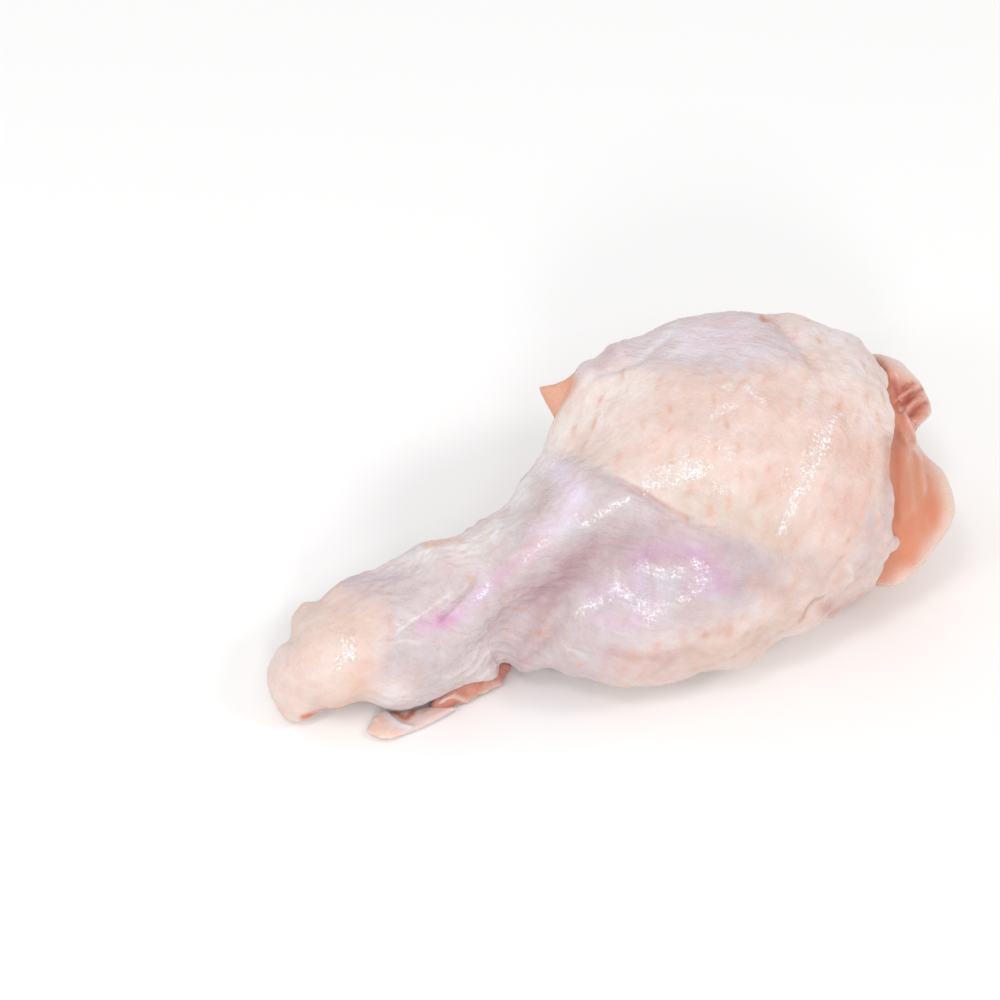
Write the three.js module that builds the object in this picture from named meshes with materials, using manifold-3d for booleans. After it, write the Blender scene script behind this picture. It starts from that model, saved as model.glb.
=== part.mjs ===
// A raw chicken drumette, the upper section of a chicken wing, lying on its side.
// Millimetres. +X runs from the elbow knuckle to the cut shoulder end, +Z is up and the
// skin rests on z = 0. The skin is a sleeve, shut over the knuckle and open at the shoulder,
// and the meat fills it and bulges out of the open end.
import * as THREE from "three";
import { mergeVertices } from "three/addons/utils/BufferGeometryUtils.js";
import Module from "manifold-3d";

const wasm = await Module();
wasm.setup();

// ---------------------------------------------------------------- driving dimensions

const BODY_HALF = [31, 23, 20]; // half sizes of the thick end of the drumette
const BODY_Z = 19.4; // height of its middle, a little less than its half height, so it rests flat
const NECK_RADIUS = 10; // where the shank leaves the body
const SHANK_RADIUS = 8; // near the knuckle
const KNUCKLE_X = -40.5;
const ELBOW_X = -44; // middle of the fan of rays over the knuckle
const END_X = 38; // middle of the fan of rays over the shoulder end

const SKIN_THICK = 1.7;
const FIT_GAP = 0.45; // between the skin and the meat in it
const LOOSE_GAP = 0.4; // between the outer skin and what lies against it
const MEAT_DEPTH = SKIN_THICK + FIT_GAP;

const SECTORS = 60; // quads round the drumette
const ELBOW_RINGS = 9;
const SLEEVE_RINGS = 44;
const LINING_RINGS = 16;
const LINING_ELBOW_RINGS = 4;
const END_RINGS = 10;
const LIP_ROUND = 1.015; // station of the ring that rounds the lip

// Where the open edge of the skin lies along X: degrees round the sleeve from the back over
// the top to the front, and x.
const LIP = [
  [0, 45], [45, 47.5], [85, 46.5], [112, 42.5], [140, 37.5], [170, 34.5],
  [200, 33.5], [230, 34], [270, 38], [315, 42], [360, 45],
];

// ---------------------------------------------------------------- distances

const { clamp, degToRad, lerp, radToDeg, smoothstep } = THREE.MathUtils;
const V = (x, y, z) => new THREE.Vector3(x, y, z);

// The lower of two distances with their crease rounded over a width of k, and the higher.
function softMin(a, b, k) {
  const h = Math.max(k - Math.abs(a - b), 0) / k;
  return Math.min(a, b) - (h * h * k) / 4;
}
const softMax = (a, b, k) => -softMin(-a, -b, k);

// Signed distance, negative inside, to an ellipsoid turned about Z.
function ball(at, half, turn = 0) {
  const spin = new THREE.Quaternion().setFromAxisAngle(V(0, 0, 1), degToRad(turn));
  const inwards = new THREE.Matrix4().compose(V(...at), spin, V(1, 1, 1)).invert();
  const q = V(0, 0, 0);
  return (p) => {
    q.copy(p).applyMatrix4(inwards);
    const k0 = Math.hypot(q.x / half[0], q.y / half[1], q.z / half[2]);
    const k1 = Math.hypot(q.x / half[0] ** 2, q.y / half[1] ** 2, q.z / half[2] ** 2);
    return k1 < 1e-9 ? -Math.min(...half) : (k0 * (k0 - 1)) / k1;
  };
}

// Signed distance to a round bar from a to b, of radius ra at a and rb at b.
function bar(a, b, ra, rb) {
  const start = V(...a);
  const along = V(...b).sub(start);
  const q = V(0, 0, 0);
  return (p) => {
    const t = clamp(q.copy(p).sub(start).dot(along) / along.lengthSq(), 0, 1);
    return q.addScaledVector(along, -t).length() - lerp(ra, rb, t);
  };
}

// The union of [distance, blend] pairs, each blended into those before it.
const blended = (forms) => (p) => forms.reduce((d, [form, k]) => softMin(d, form(p), k), 1e3);

// ---------------------------------------------------------------- main forms

// Meat that lies under the skin edge of the elbow, and the hollow that the skin leaves for it.
const ELBOW_MEAT_AT = [-26, -4.9, 1.6];
const ELBOW_MEAT_HALF = [5.2, 2.6, 3];
const hollowForElbowMeat = ball(ELBOW_MEAT_AT, ELBOW_MEAT_HALF.map((h) => h + LOOSE_GAP), 8);

const muscles = blended([
  [ball([23.5, -1, BODY_Z], BODY_HALF), 1],
  [ball([22, 2, 24], [25, 20, 16.3]), 5], // the top muscle
  [ball([8, -10, 12.6], [22, 13, 12], -8), 4], // the lower lobe in front
  [bar([6, 1, 18.5], [-32, 4, 9.5], NECK_RADIUS, SHANK_RADIUS), 6],
  [ball([KNUCKLE_X, 5.8, 7.8], [8.5, 7.6, 7.9]), 4],
  [ball([KNUCKLE_X - 6, 5.4, 4.2], [3.8, 4.4, 4.3]), 3], // the tip under the knuckle
  [ball([-28, 0.6, 7], [11, 6.4, 6]), 5], // loose skin in front of the shank
  [bar([4, -3, 29], [-20, 1, 17], 5, 4), 5], // the ridge that runs down the shank
  [bar([27, 15, 30], [9, 15, 29.5], 7.5, 4.8), 6], // the upper back muscle
  [ball([4.5, 11.5, 25], [7, 7.5, 7]), 3], // the corner of the thick skin above the neck
  [bar([-36, 11, 12.5], [-24, 9.8, 14.5], 2.3, 1.8), 3], // a fold along the back of the shank
  [ball([-41.5, 12, 9.5], [2.5, 2.5, 2.5]), 3], // a small bump on the knuckle
]);
const outerForm = (p) => softMax(muscles(p), -hollowForElbowMeat(p), 1);

// ---------------------------------------------------------------- relief

// A line over the surface. Its function gives how far a point lies to the line's left, seen
// along its ray from outside, and how far along the line, from 0 to 1. A line that runs a
// little over or under the surface still counts as on it.
const LINE_DEPTH = 4;
function surfaceLine(points) {
  const steps = new THREE.CatmullRomCurve3(points.map((p) => V(...p))).getPoints(40);
  const edge = V(0, 0, 0);
  const foot = V(0, 0, 0);
  const away = V(0, 0, 0);
  const nearest = { gap: V(0, 0, 0), edge: V(0, 0, 0), along: 0 };
  return (p, out) => {
    let least = Infinity;
    for (let i = 0; i + 1 < steps.length; i++) {
      edge.subVectors(steps[i + 1], steps[i]);
      const t = clamp(away.subVectors(p, steps[i]).dot(edge) / edge.lengthSq(), 0, 1);
      away.subVectors(p, foot.copy(steps[i]).addScaledVector(edge, t));
      if (away.lengthSq() >= least) continue;
      least = away.lengthSq();
      nearest.gap.copy(away);
      nearest.edge.copy(edge);
      nearest.along = (i + t) / (steps.length - 1);
    }
    const onRay = Math.abs(nearest.gap.dot(out));
    const across = Math.sqrt(Math.max(least - onRay ** 2, 0));
    const side = -Math.sign(nearest.gap.dot(nearest.edge.cross(out)));
    return { left: side * Math.hypot(across, Math.max(onRay - LINE_DEPTH, 0)), along: nearest.along };
  };
}

// The edge of the thick skin, from the back over the top to the front of the shoulder end.
const padEdge = surfaceLine([
  [-1, 20, 14], [-3, 16, 22], [-2.7, 8, 30.5], [-0.8, 0, 34.4], [3.2, -8.8, 34.6],
  [9.4, -16.4, 32.3], [16.4, -21.3, 27.5], [24, -23, 19], [31, -22, 11],
]);
const valley = surfaceLine([
  [6, -15, 31], [-1, -12.4, 28.7], [-8.3, -11.7, 23.4], [-15, -11.3, 17], [-18.5, -9.6, 10], [-19, -9, 4],
]);
const ridge = surfaceLine([
  [-18, -3.2, 23.6], [-13.3, -3, 26.3], [-9, -3.8, 28.6], [-3.7, -5.7, 31.4], [1.5, -7.6, 34.2],
]);
const shankFold = surfaceLine([
  [-15, -3, 24.5], [-20, -3.4, 22], [-27.5, -2.6, 18.6], [-33, -1.5, 17], [-37, 0, 16.5],
]);
const topFold = surfaceLine([
  [38, 18, 32], [35, 14, 35.5], [33.5, 6, 38.5], [34.3, 0.4, 39.5], [36, -6, 37.5],
]);

const bell = (distance, width) => Math.exp(-((distance / width) ** 2));
const fade = (along, start, end) => smoothstep(along, 0, start) * (1 - smoothstep(along, 1 - end, 1));

function padStep(p, out) {
  const { left, along } = padEdge(p, out);
  const step = 0.55 * (1 + Math.tanh(-left / 2.6)) * bell(Math.max(-left, 0), 20);
  return fade(along, 0.12, 0.15) * (step - 0.7 * bell(left - 2, 3.5));
}

// A groove or ridge: its height, width and the shares of its length over which it fades.
function furrow(line, height, width, start, end) {
  return (p, out) => {
    const { left, along } = line(p, out);
    return height * fade(along, start, end) * bell(left, width);
  };
}
const furrows = [
  furrow(valley, -3, 5, 0.25, 0.4),
  furrow(ridge, 1, 3.5, 0.2, 0.3),
  furrow(shankFold, -0.8, 3, 0.2, 0.5),
  furrow(topFold, -1.2, 2.8, 0.15, 0.4),
];
const lumps = (p) =>
  0.35 * Math.sin(0.5 * p.x + 1.1) * Math.sin(0.42 * p.y + 0.6 * p.z) +
  0.2 * Math.sin(0.9 * p.x - 0.8 * p.z) * Math.sin(0.8 * p.y + 2);

// Height of the relief at a point, measured along the ray that it lies on. The skin lies
// plain over the elbow meat, so that its gap stays open.
function relief(p, out) {
  const raised = padStep(p, out) + lumps(p) + furrows.reduce((sum, f) => sum + f(p, out), 0);
  return raised * smoothstep(hollowForElbowMeat(p), 0.5, 5);
}

// ---------------------------------------------------------------- rays from the core line

const core = new THREE.CatmullRomCurve3([
  V(ELBOW_X, 4.8, 7.5), V(-30, 3.4, 9.8), V(-14, 2, 14), V(2, 0, 17), V(20, 0, 18.5), V(50, -2, 17.5),
]).getPoints(200);

function coreAt(x) {
  const i = clamp(core.findIndex((c) => c.x >= x), 1, core.length - 1);
  const t = clamp((x - core[i - 1].x) / (core[i].x - core[i - 1].x), 0, 1);
  return core[i - 1].clone().lerp(core[i], t);
}

function lipX(angle) {
  const degrees = (radToDeg(angle) + 360) % 360;
  const i = LIP.findIndex(([limit], n) => n > 0 && degrees <= limit);
  const [d0, x0] = LIP[i - 1];
  const [d1, x1] = LIP[i];
  const ragged = 0.35 * Math.sin(7 * angle) + 0.25 * Math.sin(12 * angle + 1);
  return lerp(x0, x1, smoothstep(degrees, d0, d1)) + ragged;
}

// The ray of station s at an angle round the core: -1 to 0 fans over the knuckle, 0 to 1
// runs along to the skin's lip, and 1 to 2 fans over the shoulder end.
function rayAt(s, angle) {
  const c = Math.cos(angle);
  const n = Math.sin(angle);
  const along = clamp(s, 0, 1);
  const lip = lipX(angle);
  const tilt = (Math.PI / 2) * (s - along); // 0 straight out, a quarter turn at the poles
  const x = s > 1 ? lerp(lip, END_X, Math.sin(tilt)) : lerp(ELBOW_X, lip, along);
  return { from: coreAt(x), dir: V(Math.sin(tilt), Math.cos(tilt) * c, Math.cos(tilt) * n) };
}

// How far along a ray the form reaches: inwards in steps, then by halving.
const FAR = 52;
const MARCH = 1;
const HALVINGS = 12;
const probe = V(0, 0, 0);

function reach(form, { from, dir }, level) {
  const inside = (r) => form(probe.copy(from).addScaledVector(dir, r)) < level;
  let r = FAR;
  while (r > 0 && !inside(r)) r -= MARCH;
  let [low, high] = [r, r + MARCH];
  for (let i = 0; i < HALVINGS; i++) {
    const middle = (low + high) / 2;
    if (inside(middle)) low = middle;
    else high = middle;
  }
  return (low + high) / 2;
}

const pointOn = ({ from, dir }, r) => from.clone().addScaledVector(dir, r);

// The point of a form on a ray, at a depth under it, with the flat underside. The relief is
// read on the outer skin, so that all the layers on one ray are raised by the same height.
function layerPoint(form, ray, depth, floor) {
  const raised = relief(pointOn(ray, reach(outerForm, ray, 0)), ray.dir);
  const p = pointOn(ray, reach(form, ray, -depth) + raised);
  p.z = Math.max(p.z, floor);
  return p;
}

// ---------------------------------------------------------------- solids

// A closed quilt of rings and sectors: a lathe of unit radius whose corners are then placed.
// The first ring and the last are its poles.
function quilt(rings, sectors, place) {
  const last = rings.length - 1;
  const profile = rings.map((_, j) => new THREE.Vector2(j % last === 0 ? 0 : 1, j));
  const geometry = new THREE.LatheGeometry(profile, sectors);
  const corners = geometry.getAttribute("position");
  for (let i = 0; i <= sectors; i++)
    for (let j = 0; j <= last; j++) {
      const angle = j % last === 0 ? 0 : ((i % sectors) / sectors) * 2 * Math.PI;
      const p = place(rings[j], angle);
      corners.setXYZ(i * rings.length + j, p.x, p.y, p.z);
    }
  return geometry;
}

// A geometry as a manifold solid, with its faces turned to point out.
function solidOf(geometry) {
  const bare = geometry.clone();
  bare.deleteAttribute("normal");
  bare.deleteAttribute("uv");
  const merged = mergeVertices(bare, 1e-3);
  const corner = merged.index.array;
  const faces = [];
  for (let t = 0; t < corner.length; t += 3) {
    const [a, b, c] = corner.slice(t, t + 3);
    if (a !== b && b !== c && c !== a) faces.push([a, b, c]);
  }
  const build = (list) =>
    new wasm.Manifold(
      new wasm.Mesh({
        numProp: 3,
        vertProperties: merged.attributes.position.array,
        triVerts: new Uint32Array(list.flat()),
      }),
    );
  const solid = build(faces);
  return solid.volume() > 0 ? solid : build(faces.map(([a, b, c]) => [a, c, b]));
}

function meshOf(name, solid, color, roughness) {
  const { vertProperties, triVerts } = solid.getMesh();
  const geometry = new THREE.BufferGeometry()
    .setAttribute("position", new THREE.BufferAttribute(new Float32Array(vertProperties), 3))
    .setIndex(new THREE.BufferAttribute(new Uint32Array(triVerts), 1));
  geometry.computeVertexNormals();
  const mesh = new THREE.Mesh(geometry, new THREE.MeshStandardMaterial({ color, roughness }));
  mesh.name = name;
  return mesh;
}

// Stations from a to b in equal steps, without b.
const stations = (a, b, count) => Array.from({ length: count }, (_, i) => a + ((b - a) * i) / count);

// ---------------------------------------------------------------- skin

// The stations of the lining, which the meat in it shares, from the lip to the knuckle.
const insideStations = [...stations(1, 0, LINING_RINGS), ...stations(0, -1, LINING_ELBOW_RINGS), -1];

// Outside from the knuckle to the lip, round the lip, and back along the lining.
function skinSolid() {
  const outside = [...stations(-1, 0, ELBOW_RINGS), ...stations(0, 1, SLEEVE_RINGS), 1];
  const rings = [
    ...outside.map((s) => ({ s, depth: 0 })),
    { s: LIP_ROUND, depth: SKIN_THICK / 2 },
    ...insideStations.map((s) => ({ s, depth: SKIN_THICK })),
  ];
  const place = ({ s, depth }, angle) => layerPoint(outerForm, rayAt(s, angle), depth, depth);
  const hollow = [2, ...insideStations].map((s) => ({ s, depth: SKIN_THICK }));
  const trimmed = lipNub().add(backTab()).subtract(solidOf(quilt(hollow, SECTORS, place)));
  return solidOf(quilt(rings, SECTORS, place)).add(trimmed);
}

// A small knob of fat on the front of the lip.
function lipNub() {
  const nub = new THREE.SphereGeometry(1, 12, 8).scale(1.9, 1.3, 1.3);
  return solidOf(nub.translate(34.6, -21.6, 21.4));
}

// A loose pointed tab of skin that stands out behind the body, widest at its root.
const TAB_ROOT = V(6.2, 14, 29.6);
const TAB_TIP = V(1.7, 23, 28.8);
const TAB_ACROSS = V(0.7, 0, 0.71);
const TAB_WIDTH = 12;
const TAB_THICK = [3.2, 1.2]; // at the root and at the tip

function backTab() {
  const out = TAB_ACROSS.clone().cross(V(0, 0, 0).subVectors(TAB_TIP, TAB_ROOT)).normalize();
  const tab = quilt(stations(0, 1, 8).concat(1), 16, (t, angle) => {
    const open = t % 1 === 0 ? 0 : 0.5;
    const wide = open * TAB_WIDTH * (1 - t) ** 0.9;
    const thick = open * lerp(...TAB_THICK, t);
    const p = TAB_ROOT.clone().lerp(TAB_TIP, t);
    p.addScaledVector(TAB_ACROSS, wide * Math.cos(angle));
    return p.addScaledVector(out, thick * Math.sin(angle));
  });
  return solidOf(tab);
}

// ---------------------------------------------------------------- meat

const DRAWN_IN = [28, 36]; // where the meat draws in from the lining, along X, by one more mm
const PAST_LIP = 1; // how far past the lip the meat may swell wider than the sleeve

const shoulder = blended([
  [bar([-60, 2, 15], [27, 0, 18], 30, 20), 1],
  [ball([37.5, -8.4, 14.8], [15.5, 13.4, 12.4]), 5], // the smooth lower bulge
  [ball([42.5, 2, 24], [12, 8.5, 8.4]), 2.5], // the upper muscle
  [ball([34.5, 6, 16], [13.5, 15, 14]), 4], // the back
]);
const shoulderHollow = ball([48.5, -5, 30.5], [4.5, 4.5, 3.5]); // torn out between the two

// The shoulder's muscles, kept to the room in the sleeve as far as the lip.
function meatForm(p) {
  const inSleeve = outerForm(p) + MEAT_DEPTH + smoothstep(p.x, ...DRAWN_IN);
  const middle = coreAt(p.x);
  const pastLip = lipX(Math.atan2(p.z - middle.z, p.y - middle.y)) + PAST_LIP - p.x;
  const room = softMin(inSleeve, pastLip, 1);
  return softMax(softMax(room, shoulder(p), 2), -shoulderHollow(p), 1.5);
}

function meatSolid() {
  const rings = [...stations(2, 1, END_RINGS), ...insideStations];
  return solidOf(quilt(rings, SECTORS, (s, angle) => layerPoint(meatForm, rayAt(s, angle), 0, MEAT_DEPTH)));
}

// ---------------------------------------------------------------- what shows under the elbow

// Dark meat between the skin edge and the floor.
function elbowMeatSolid() {
  const lump = new THREE.SphereGeometry(1, 20, 12).scale(...ELBOW_MEAT_HALF);
  lump.rotateZ(degToRad(8)).translate(...ELBOW_MEAT_AT);
  const corners = lump.getAttribute("position");
  for (let i = 0; i < corners.count; i++) corners.setZ(i, Math.max(corners.getZ(i), 0));
  return solidOf(lump);
}

// A pale strip of tissue along the floor, from the elbow meat to its wide torn tip.
const STRIP_FROM = [-31.4, -6.6];
const STRIP_TO = [-38.6, -3.4];
const STRIP_WIDTH = [1.4, 6.2];
const STRIP_THICK = 1.3;

function tissueStripSolid() {
  const strip = quilt(stations(0, 1, 10).concat(1), 12, (t, angle) => {
    const open = t % 1 === 0 ? 0 : Math.min(1, 4 * t, 6 * (1 - t)) ** 0.5;
    const wide = 0.5 * lerp(...STRIP_WIDTH, t) * open * Math.cos(angle);
    const thick = 0.5 * STRIP_THICK * open * Math.sin(angle);
    return V(
      lerp(STRIP_FROM[0], STRIP_TO[0], t) + 0.3 * wide,
      lerp(STRIP_FROM[1], STRIP_TO[1], t) + wide,
      0.9 + 0.25 * Math.sin(9 * t) * open + thick,
    );
  });
  return solidOf(strip);
}

// ---------------------------------------------------------------- the drumette

const drumette = new THREE.Group();
drumette.add(
  meshOf("skin", skinSolid(), 0xf0d4c4, 0.35),
  meshOf("meat", meatSolid(), 0xe9a78c, 0.4),
  meshOf("elbow_meat", elbowMeatSolid(), 0xb5442f, 0.35),
  meshOf("tissue_strip", tissueStripSolid(), 0xf1d0c6, 0.4),
);

// The origin is the middle of the underside of the whole drumette.
const box = new THREE.Box3().setFromObject(drumette);
drumette.position.set(-(box.min.x + box.max.x) / 2, -(box.min.y + box.max.y) / 2, 0);

export default drumette;
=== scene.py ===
# %% [markdown]
# # A raw chicken drumette
# The drumette is the upper section of a chicken wing. It lies on its side: the thick end
# with the cut meat points right, and the narrow shank with its knuckle points left. This
# lesson dresses four CAD solids, the skin, the meat, the dark meat under the elbow and a
# strip of tissue, in the detail that the real thing shows. The CAD solids are the frame:
# they are never moved, and each finished piece stands where its solid stands.

# %% Load the frame
import math

import bpy
import numpy as np
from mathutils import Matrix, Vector, noise


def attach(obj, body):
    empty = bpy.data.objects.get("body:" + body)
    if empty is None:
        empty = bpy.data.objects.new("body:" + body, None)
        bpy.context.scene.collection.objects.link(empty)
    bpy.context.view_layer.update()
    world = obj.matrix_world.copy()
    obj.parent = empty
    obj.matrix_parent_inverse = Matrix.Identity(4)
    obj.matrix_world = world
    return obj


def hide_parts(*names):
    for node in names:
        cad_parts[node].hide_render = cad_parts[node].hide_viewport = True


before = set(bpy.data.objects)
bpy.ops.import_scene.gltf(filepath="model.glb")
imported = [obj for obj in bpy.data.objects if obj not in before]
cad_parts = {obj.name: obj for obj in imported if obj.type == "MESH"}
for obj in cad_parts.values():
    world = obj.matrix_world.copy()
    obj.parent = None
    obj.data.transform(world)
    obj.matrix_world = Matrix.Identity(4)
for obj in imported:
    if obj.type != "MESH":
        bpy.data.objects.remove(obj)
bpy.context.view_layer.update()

MM = 0.001  # Blender counts in metres, and a drumette is easier to think of in millimetres

# %% [markdown]
# ## The camera
# The photograph looks down on the drumette at 46 degrees, and from a little to the left.
# A long lens far away keeps the perspective as flat as it is there. The camera is made by
# the operator and then turned to face along a direction, which is easier to get right than
# three angles.

# %% Make the camera
VIEW_BACK = Vector((-0.31537, -0.61895, 0.71934))  # from the drumette towards the camera
bpy.ops.object.select_all(action="DESELECT")
bpy.ops.object.camera_add(location=(-0.13980, -0.23753, 0.31119))
camera = bpy.context.active_object
camera.name = "camera"
camera.rotation_mode = "QUATERNION"
camera.rotation_quaternion = (-VIEW_BACK).to_track_quat("-Z", "Y")
camera.data.lens = 100
camera.data.sensor_width = 36
camera.data.clip_start = 0.01
bpy.context.scene.camera = camera
print("camera at", [round(v, 3) for v in camera.location])

# %% [markdown]
# ## The studio
# A plain pale floor and soft light, as for a catalogue picture. A bright world fills the
# shadows, a large soft light above the front gives the forms their shade, and another one
# behind keeps the top edge pale. Five small lights make the sparkles that tell the eye that
# the skin is wet: each stands where one wet place mirrors it. The view transform is the plain
# one, so that a pale colour stays as it is mixed.

# %% Lay the floor and light the world
bpy.context.scene.view_settings.view_transform = "Standard"
bpy.ops.mesh.primitive_plane_add(size=6, location=(0, 0, 0))
floor = bpy.context.active_object
floor.name = "floor"
paper = bpy.data.materials.new("pale paper")
paper.use_nodes = True
paper_shader = paper.node_tree.nodes["Principled BSDF"]
paper_shader.inputs["Base Color"].default_value = (0.94, 0.94, 0.94, 1)
paper_shader.inputs["Roughness"].default_value = 0.9
paper_shader.inputs["Specular IOR Level"].default_value = 0.1
floor.data.materials.append(paper)

world = bpy.data.worlds.new("studio")
world.use_nodes = True
sky = world.node_tree.nodes["Background"]
sky.inputs["Color"].default_value = (1.0, 0.995, 0.99, 1)
sky.inputs["Strength"].default_value = 0.67
bpy.context.scene.world = world
print("world strength:", round(sky.inputs["Strength"].default_value, 2))


# %% Place the lights
LIGHTS_AWAY = 0.9  # metres from the drumette to each light


def soft_light(name, towards, size, watts):
    """A square area light that stands out from the drumette along a direction, and faces it."""
    direction = Vector(towards).normalized()
    bpy.ops.object.light_add(type="AREA", location=direction * LIGHTS_AWAY)
    lamp = bpy.context.active_object
    lamp.name = name
    lamp.rotation_mode = "QUATERNION"
    lamp.rotation_quaternion = direction.to_track_quat("Z", "Y")
    lamp.data.size = size
    lamp.data.energy = watts
    return lamp


soft_light("key light", (-0.10, -0.30, 0.85), 0.55, 0.45)
soft_light("low front sparkle", (-0.37, -0.75, 0.45), 0.15, 1.3)
soft_light("front sparkle", (-0.20, -0.66, 0.72), 0.12, 0.5)
soft_light("right sparkle", (0.50, -0.47, 0.73), 0.15, 1.05)
soft_light("left sparkle", (-0.74, -0.24, 0.62), 0.13, 0.75)
soft_light("upper sparkle", (-0.37, -0.26, 0.89), 0.13, 0.8)
soft_light("back light", (-0.45, 0.60, 0.62), 0.5, 0.6)

# %% [markdown]
# ## Points as arrays
# Skin has thousands of small wrinkles and bumps. To shape them, this lesson reads all the
# points of a mesh into one array, moves them by a rule, and writes them back. Each rule is
# a small function of where a point lies, which is what a sculpting brush does by hand.

# %% Read and write the points of a piece
def points_of(piece):
    """The points of a piece in millimetres, one row each."""
    found = np.empty(len(piece.data.vertices) * 3, np.float32)
    piece.data.vertices.foreach_get("co", found)
    return found.reshape(-1, 3).astype(float) / MM


def normals_of(piece):
    """The direction out of the surface at each point."""
    found = np.empty(len(piece.data.vertices) * 3, np.float32)
    piece.data.vertex_normals.foreach_get("vector", found)
    return found.reshape(-1, 3).astype(float)


def place_points(piece, points):
    """Writes the points back, in millimetres."""
    piece.data.vertices.foreach_set("co", (points * MM).astype(np.float32).ravel())
    piece.data.update()


def remember(piece, name, amount):
    """Keeps a number from 0 to 1 at each point, which a material can read by that name."""
    layer = piece.data.attributes.new(name, "FLOAT", "POINT")
    layer.data.foreach_set("value", np.clip(amount, 0, 1).astype(np.float32))


print("points are read and written in steps of", MM, "m")


# %% Make a working copy of a CAD node
def copy_of_node(node, name):
    """A copy of a CAD node with its loose triangles merged and paired into quads."""
    piece = bpy.data.objects.new(name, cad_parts[node].data.copy())
    bpy.context.scene.collection.objects.link(piece)
    bpy.ops.object.select_all(action="DESELECT")
    piece.select_set(True)
    bpy.context.view_layer.objects.active = piece
    piece.data.materials.clear()
    if piece.data.has_custom_normals:
        bpy.ops.mesh.customdata_custom_splitnormals_clear()
    bpy.ops.object.mode_set(mode="EDIT")
    bpy.ops.mesh.select_all(action="SELECT")
    bpy.ops.mesh.remove_doubles(threshold=0.00001)
    bpy.ops.mesh.tris_convert_to_quads(
        face_threshold=math.radians(60), shape_threshold=math.radians(80)
    )
    bpy.ops.object.mode_set(mode="OBJECT")
    bpy.ops.object.shade_smooth()
    return piece


print("CAD nodes to copy:", sorted(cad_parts))

# %% [markdown]
# The CAD solids have just enough faces for their main shape. Detail needs more, but only
# where it shows, so the faces to divide are chosen by their place. Dividing alone keeps the
# flat facets, so the new points are then relaxed: each moves towards the middle of its
# neighbours, a few times over.

# %% Divide chosen faces, and relax chosen points
def face_middles(piece):
    """The middle of each face in millimetres, and its direction out."""
    middles = np.empty(len(piece.data.polygons) * 3, np.float32)
    piece.data.polygons.foreach_get("center", middles)
    outs = np.empty(len(piece.data.polygons) * 3, np.float32)
    piece.data.polygons.foreach_get("normal", outs)
    return middles.reshape(-1, 3).astype(float) / MM, outs.reshape(-1, 3).astype(float)


def divide_faces(piece, chosen, cuts):
    """Cuts every edge of the chosen faces into cuts + 1 parts."""
    bpy.context.tool_settings.mesh_select_mode = (False, False, True)
    piece.data.vertices.foreach_set("select", np.zeros(len(piece.data.vertices), bool))
    piece.data.edges.foreach_set("select", np.zeros(len(piece.data.edges), bool))
    piece.data.polygons.foreach_set("select", np.asarray(chosen, bool))
    bpy.context.view_layer.objects.active = piece
    bpy.ops.object.mode_set(mode="EDIT")
    bpy.ops.mesh.subdivide(number_cuts=cuts)
    bpy.ops.object.mode_set(mode="OBJECT")


def relax(piece, strength, rounds):
    """Moves each point towards the middle of its neighbours. strength has a value per point."""
    points = points_of(piece)
    ends = np.empty(len(piece.data.edges) * 2, np.int32)
    piece.data.edges.foreach_get("vertices", ends)
    a, b = ends.reshape(-1, 2).T
    number = len(points)
    count = np.maximum(np.bincount(a, minlength=number) + np.bincount(b, minlength=number), 1)
    for _ in range(rounds):
        middle = np.stack([
            (np.bincount(a, points[b, k], number) + np.bincount(b, points[a, k], number)) / count
            for k in range(3)
        ], 1)
        points += (middle - points) * strength[:, None]
    place_points(piece, points)


print("faces of the CAD skin:", len(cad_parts["skin"].data.polygons))

# %% [markdown]
# Most features of the skin run along lines: the edge of the thick skin, the valley beside
# the shank, a fold. A line is a smooth curve through a few points that were found on the
# surface. For every point of the mesh, `beside` says how far it lies from the line, on which
# side, and how far along. The folds and ridges are then simple curves of that distance.

# %% Smooth curves and the distance to them
def smooth_curve(corners, steps=8):
    """A curve that passes smoothly through its corners."""
    c = np.array(corners, float)
    c = np.vstack([2 * c[0] - c[1], c, 2 * c[-1] - c[-2]])
    t = np.linspace(0, 1, steps, endpoint=False)[:, None]
    runs = [
        0.5 * (2 * c[i] + (c[i + 1] - c[i - 1]) * t
               + (2 * c[i - 1] - 5 * c[i] + 4 * c[i + 1] - c[i + 2]) * t ** 2
               + (3 * c[i] - c[i - 1] - 3 * c[i + 1] + c[i + 2]) * t ** 3)
        for i in range(1, len(c) - 2)
    ]
    return np.vstack([*runs, c[-2:-1]])


def beside(points, outs, corners, within=12.0):
    """Distance to a line, positive on its left seen from outside, and how far along."""
    line = smooth_curve(corners)
    low, high = line.min(0) - within, line.max(0) + within
    near = np.flatnonzero(((points > low) & (points < high)).all(1))
    side, along = np.full(len(points), 99.0), np.zeros(len(points))
    p, n = points[near], outs[near]
    least = np.full(len(near), 1e9)
    best_side, best_along = np.zeros(len(near)), np.zeros(len(near))
    for i in range(len(line) - 1):
        run = line[i + 1] - line[i]
        t = np.clip((p - line[i]) @ run / (run @ run), 0, 1)
        gap = p - line[i] - t[:, None] * run
        up = (gap * n).sum(1)
        flat = (gap ** 2).sum(1) - np.minimum(up ** 2, 16)
        closer = flat < least
        least[closer] = flat[closer]
        best_side[closer] = np.sign((np.cross(run, gap) * n).sum(1))[closer]
        best_along[closer] = ((i + t) / (len(line) - 1))[closer]
    side[near] = np.where(best_side == 0, 1, best_side) * np.sqrt(np.maximum(least, 0))
    along[near] = best_along
    return side, along


print("a curve through 3 corners has", len(smooth_curve([(0, 0), (1, 1), (2, 0)])), "points")

# %% [markdown]
# Three soft shapes do for nearly everything here: a step for a border, a hump for a fold, and
# noise for what has no rule. Streaks are noise that is drawn out along a direction, because
# skin wrinkles across the way in which it is pulled.

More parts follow.
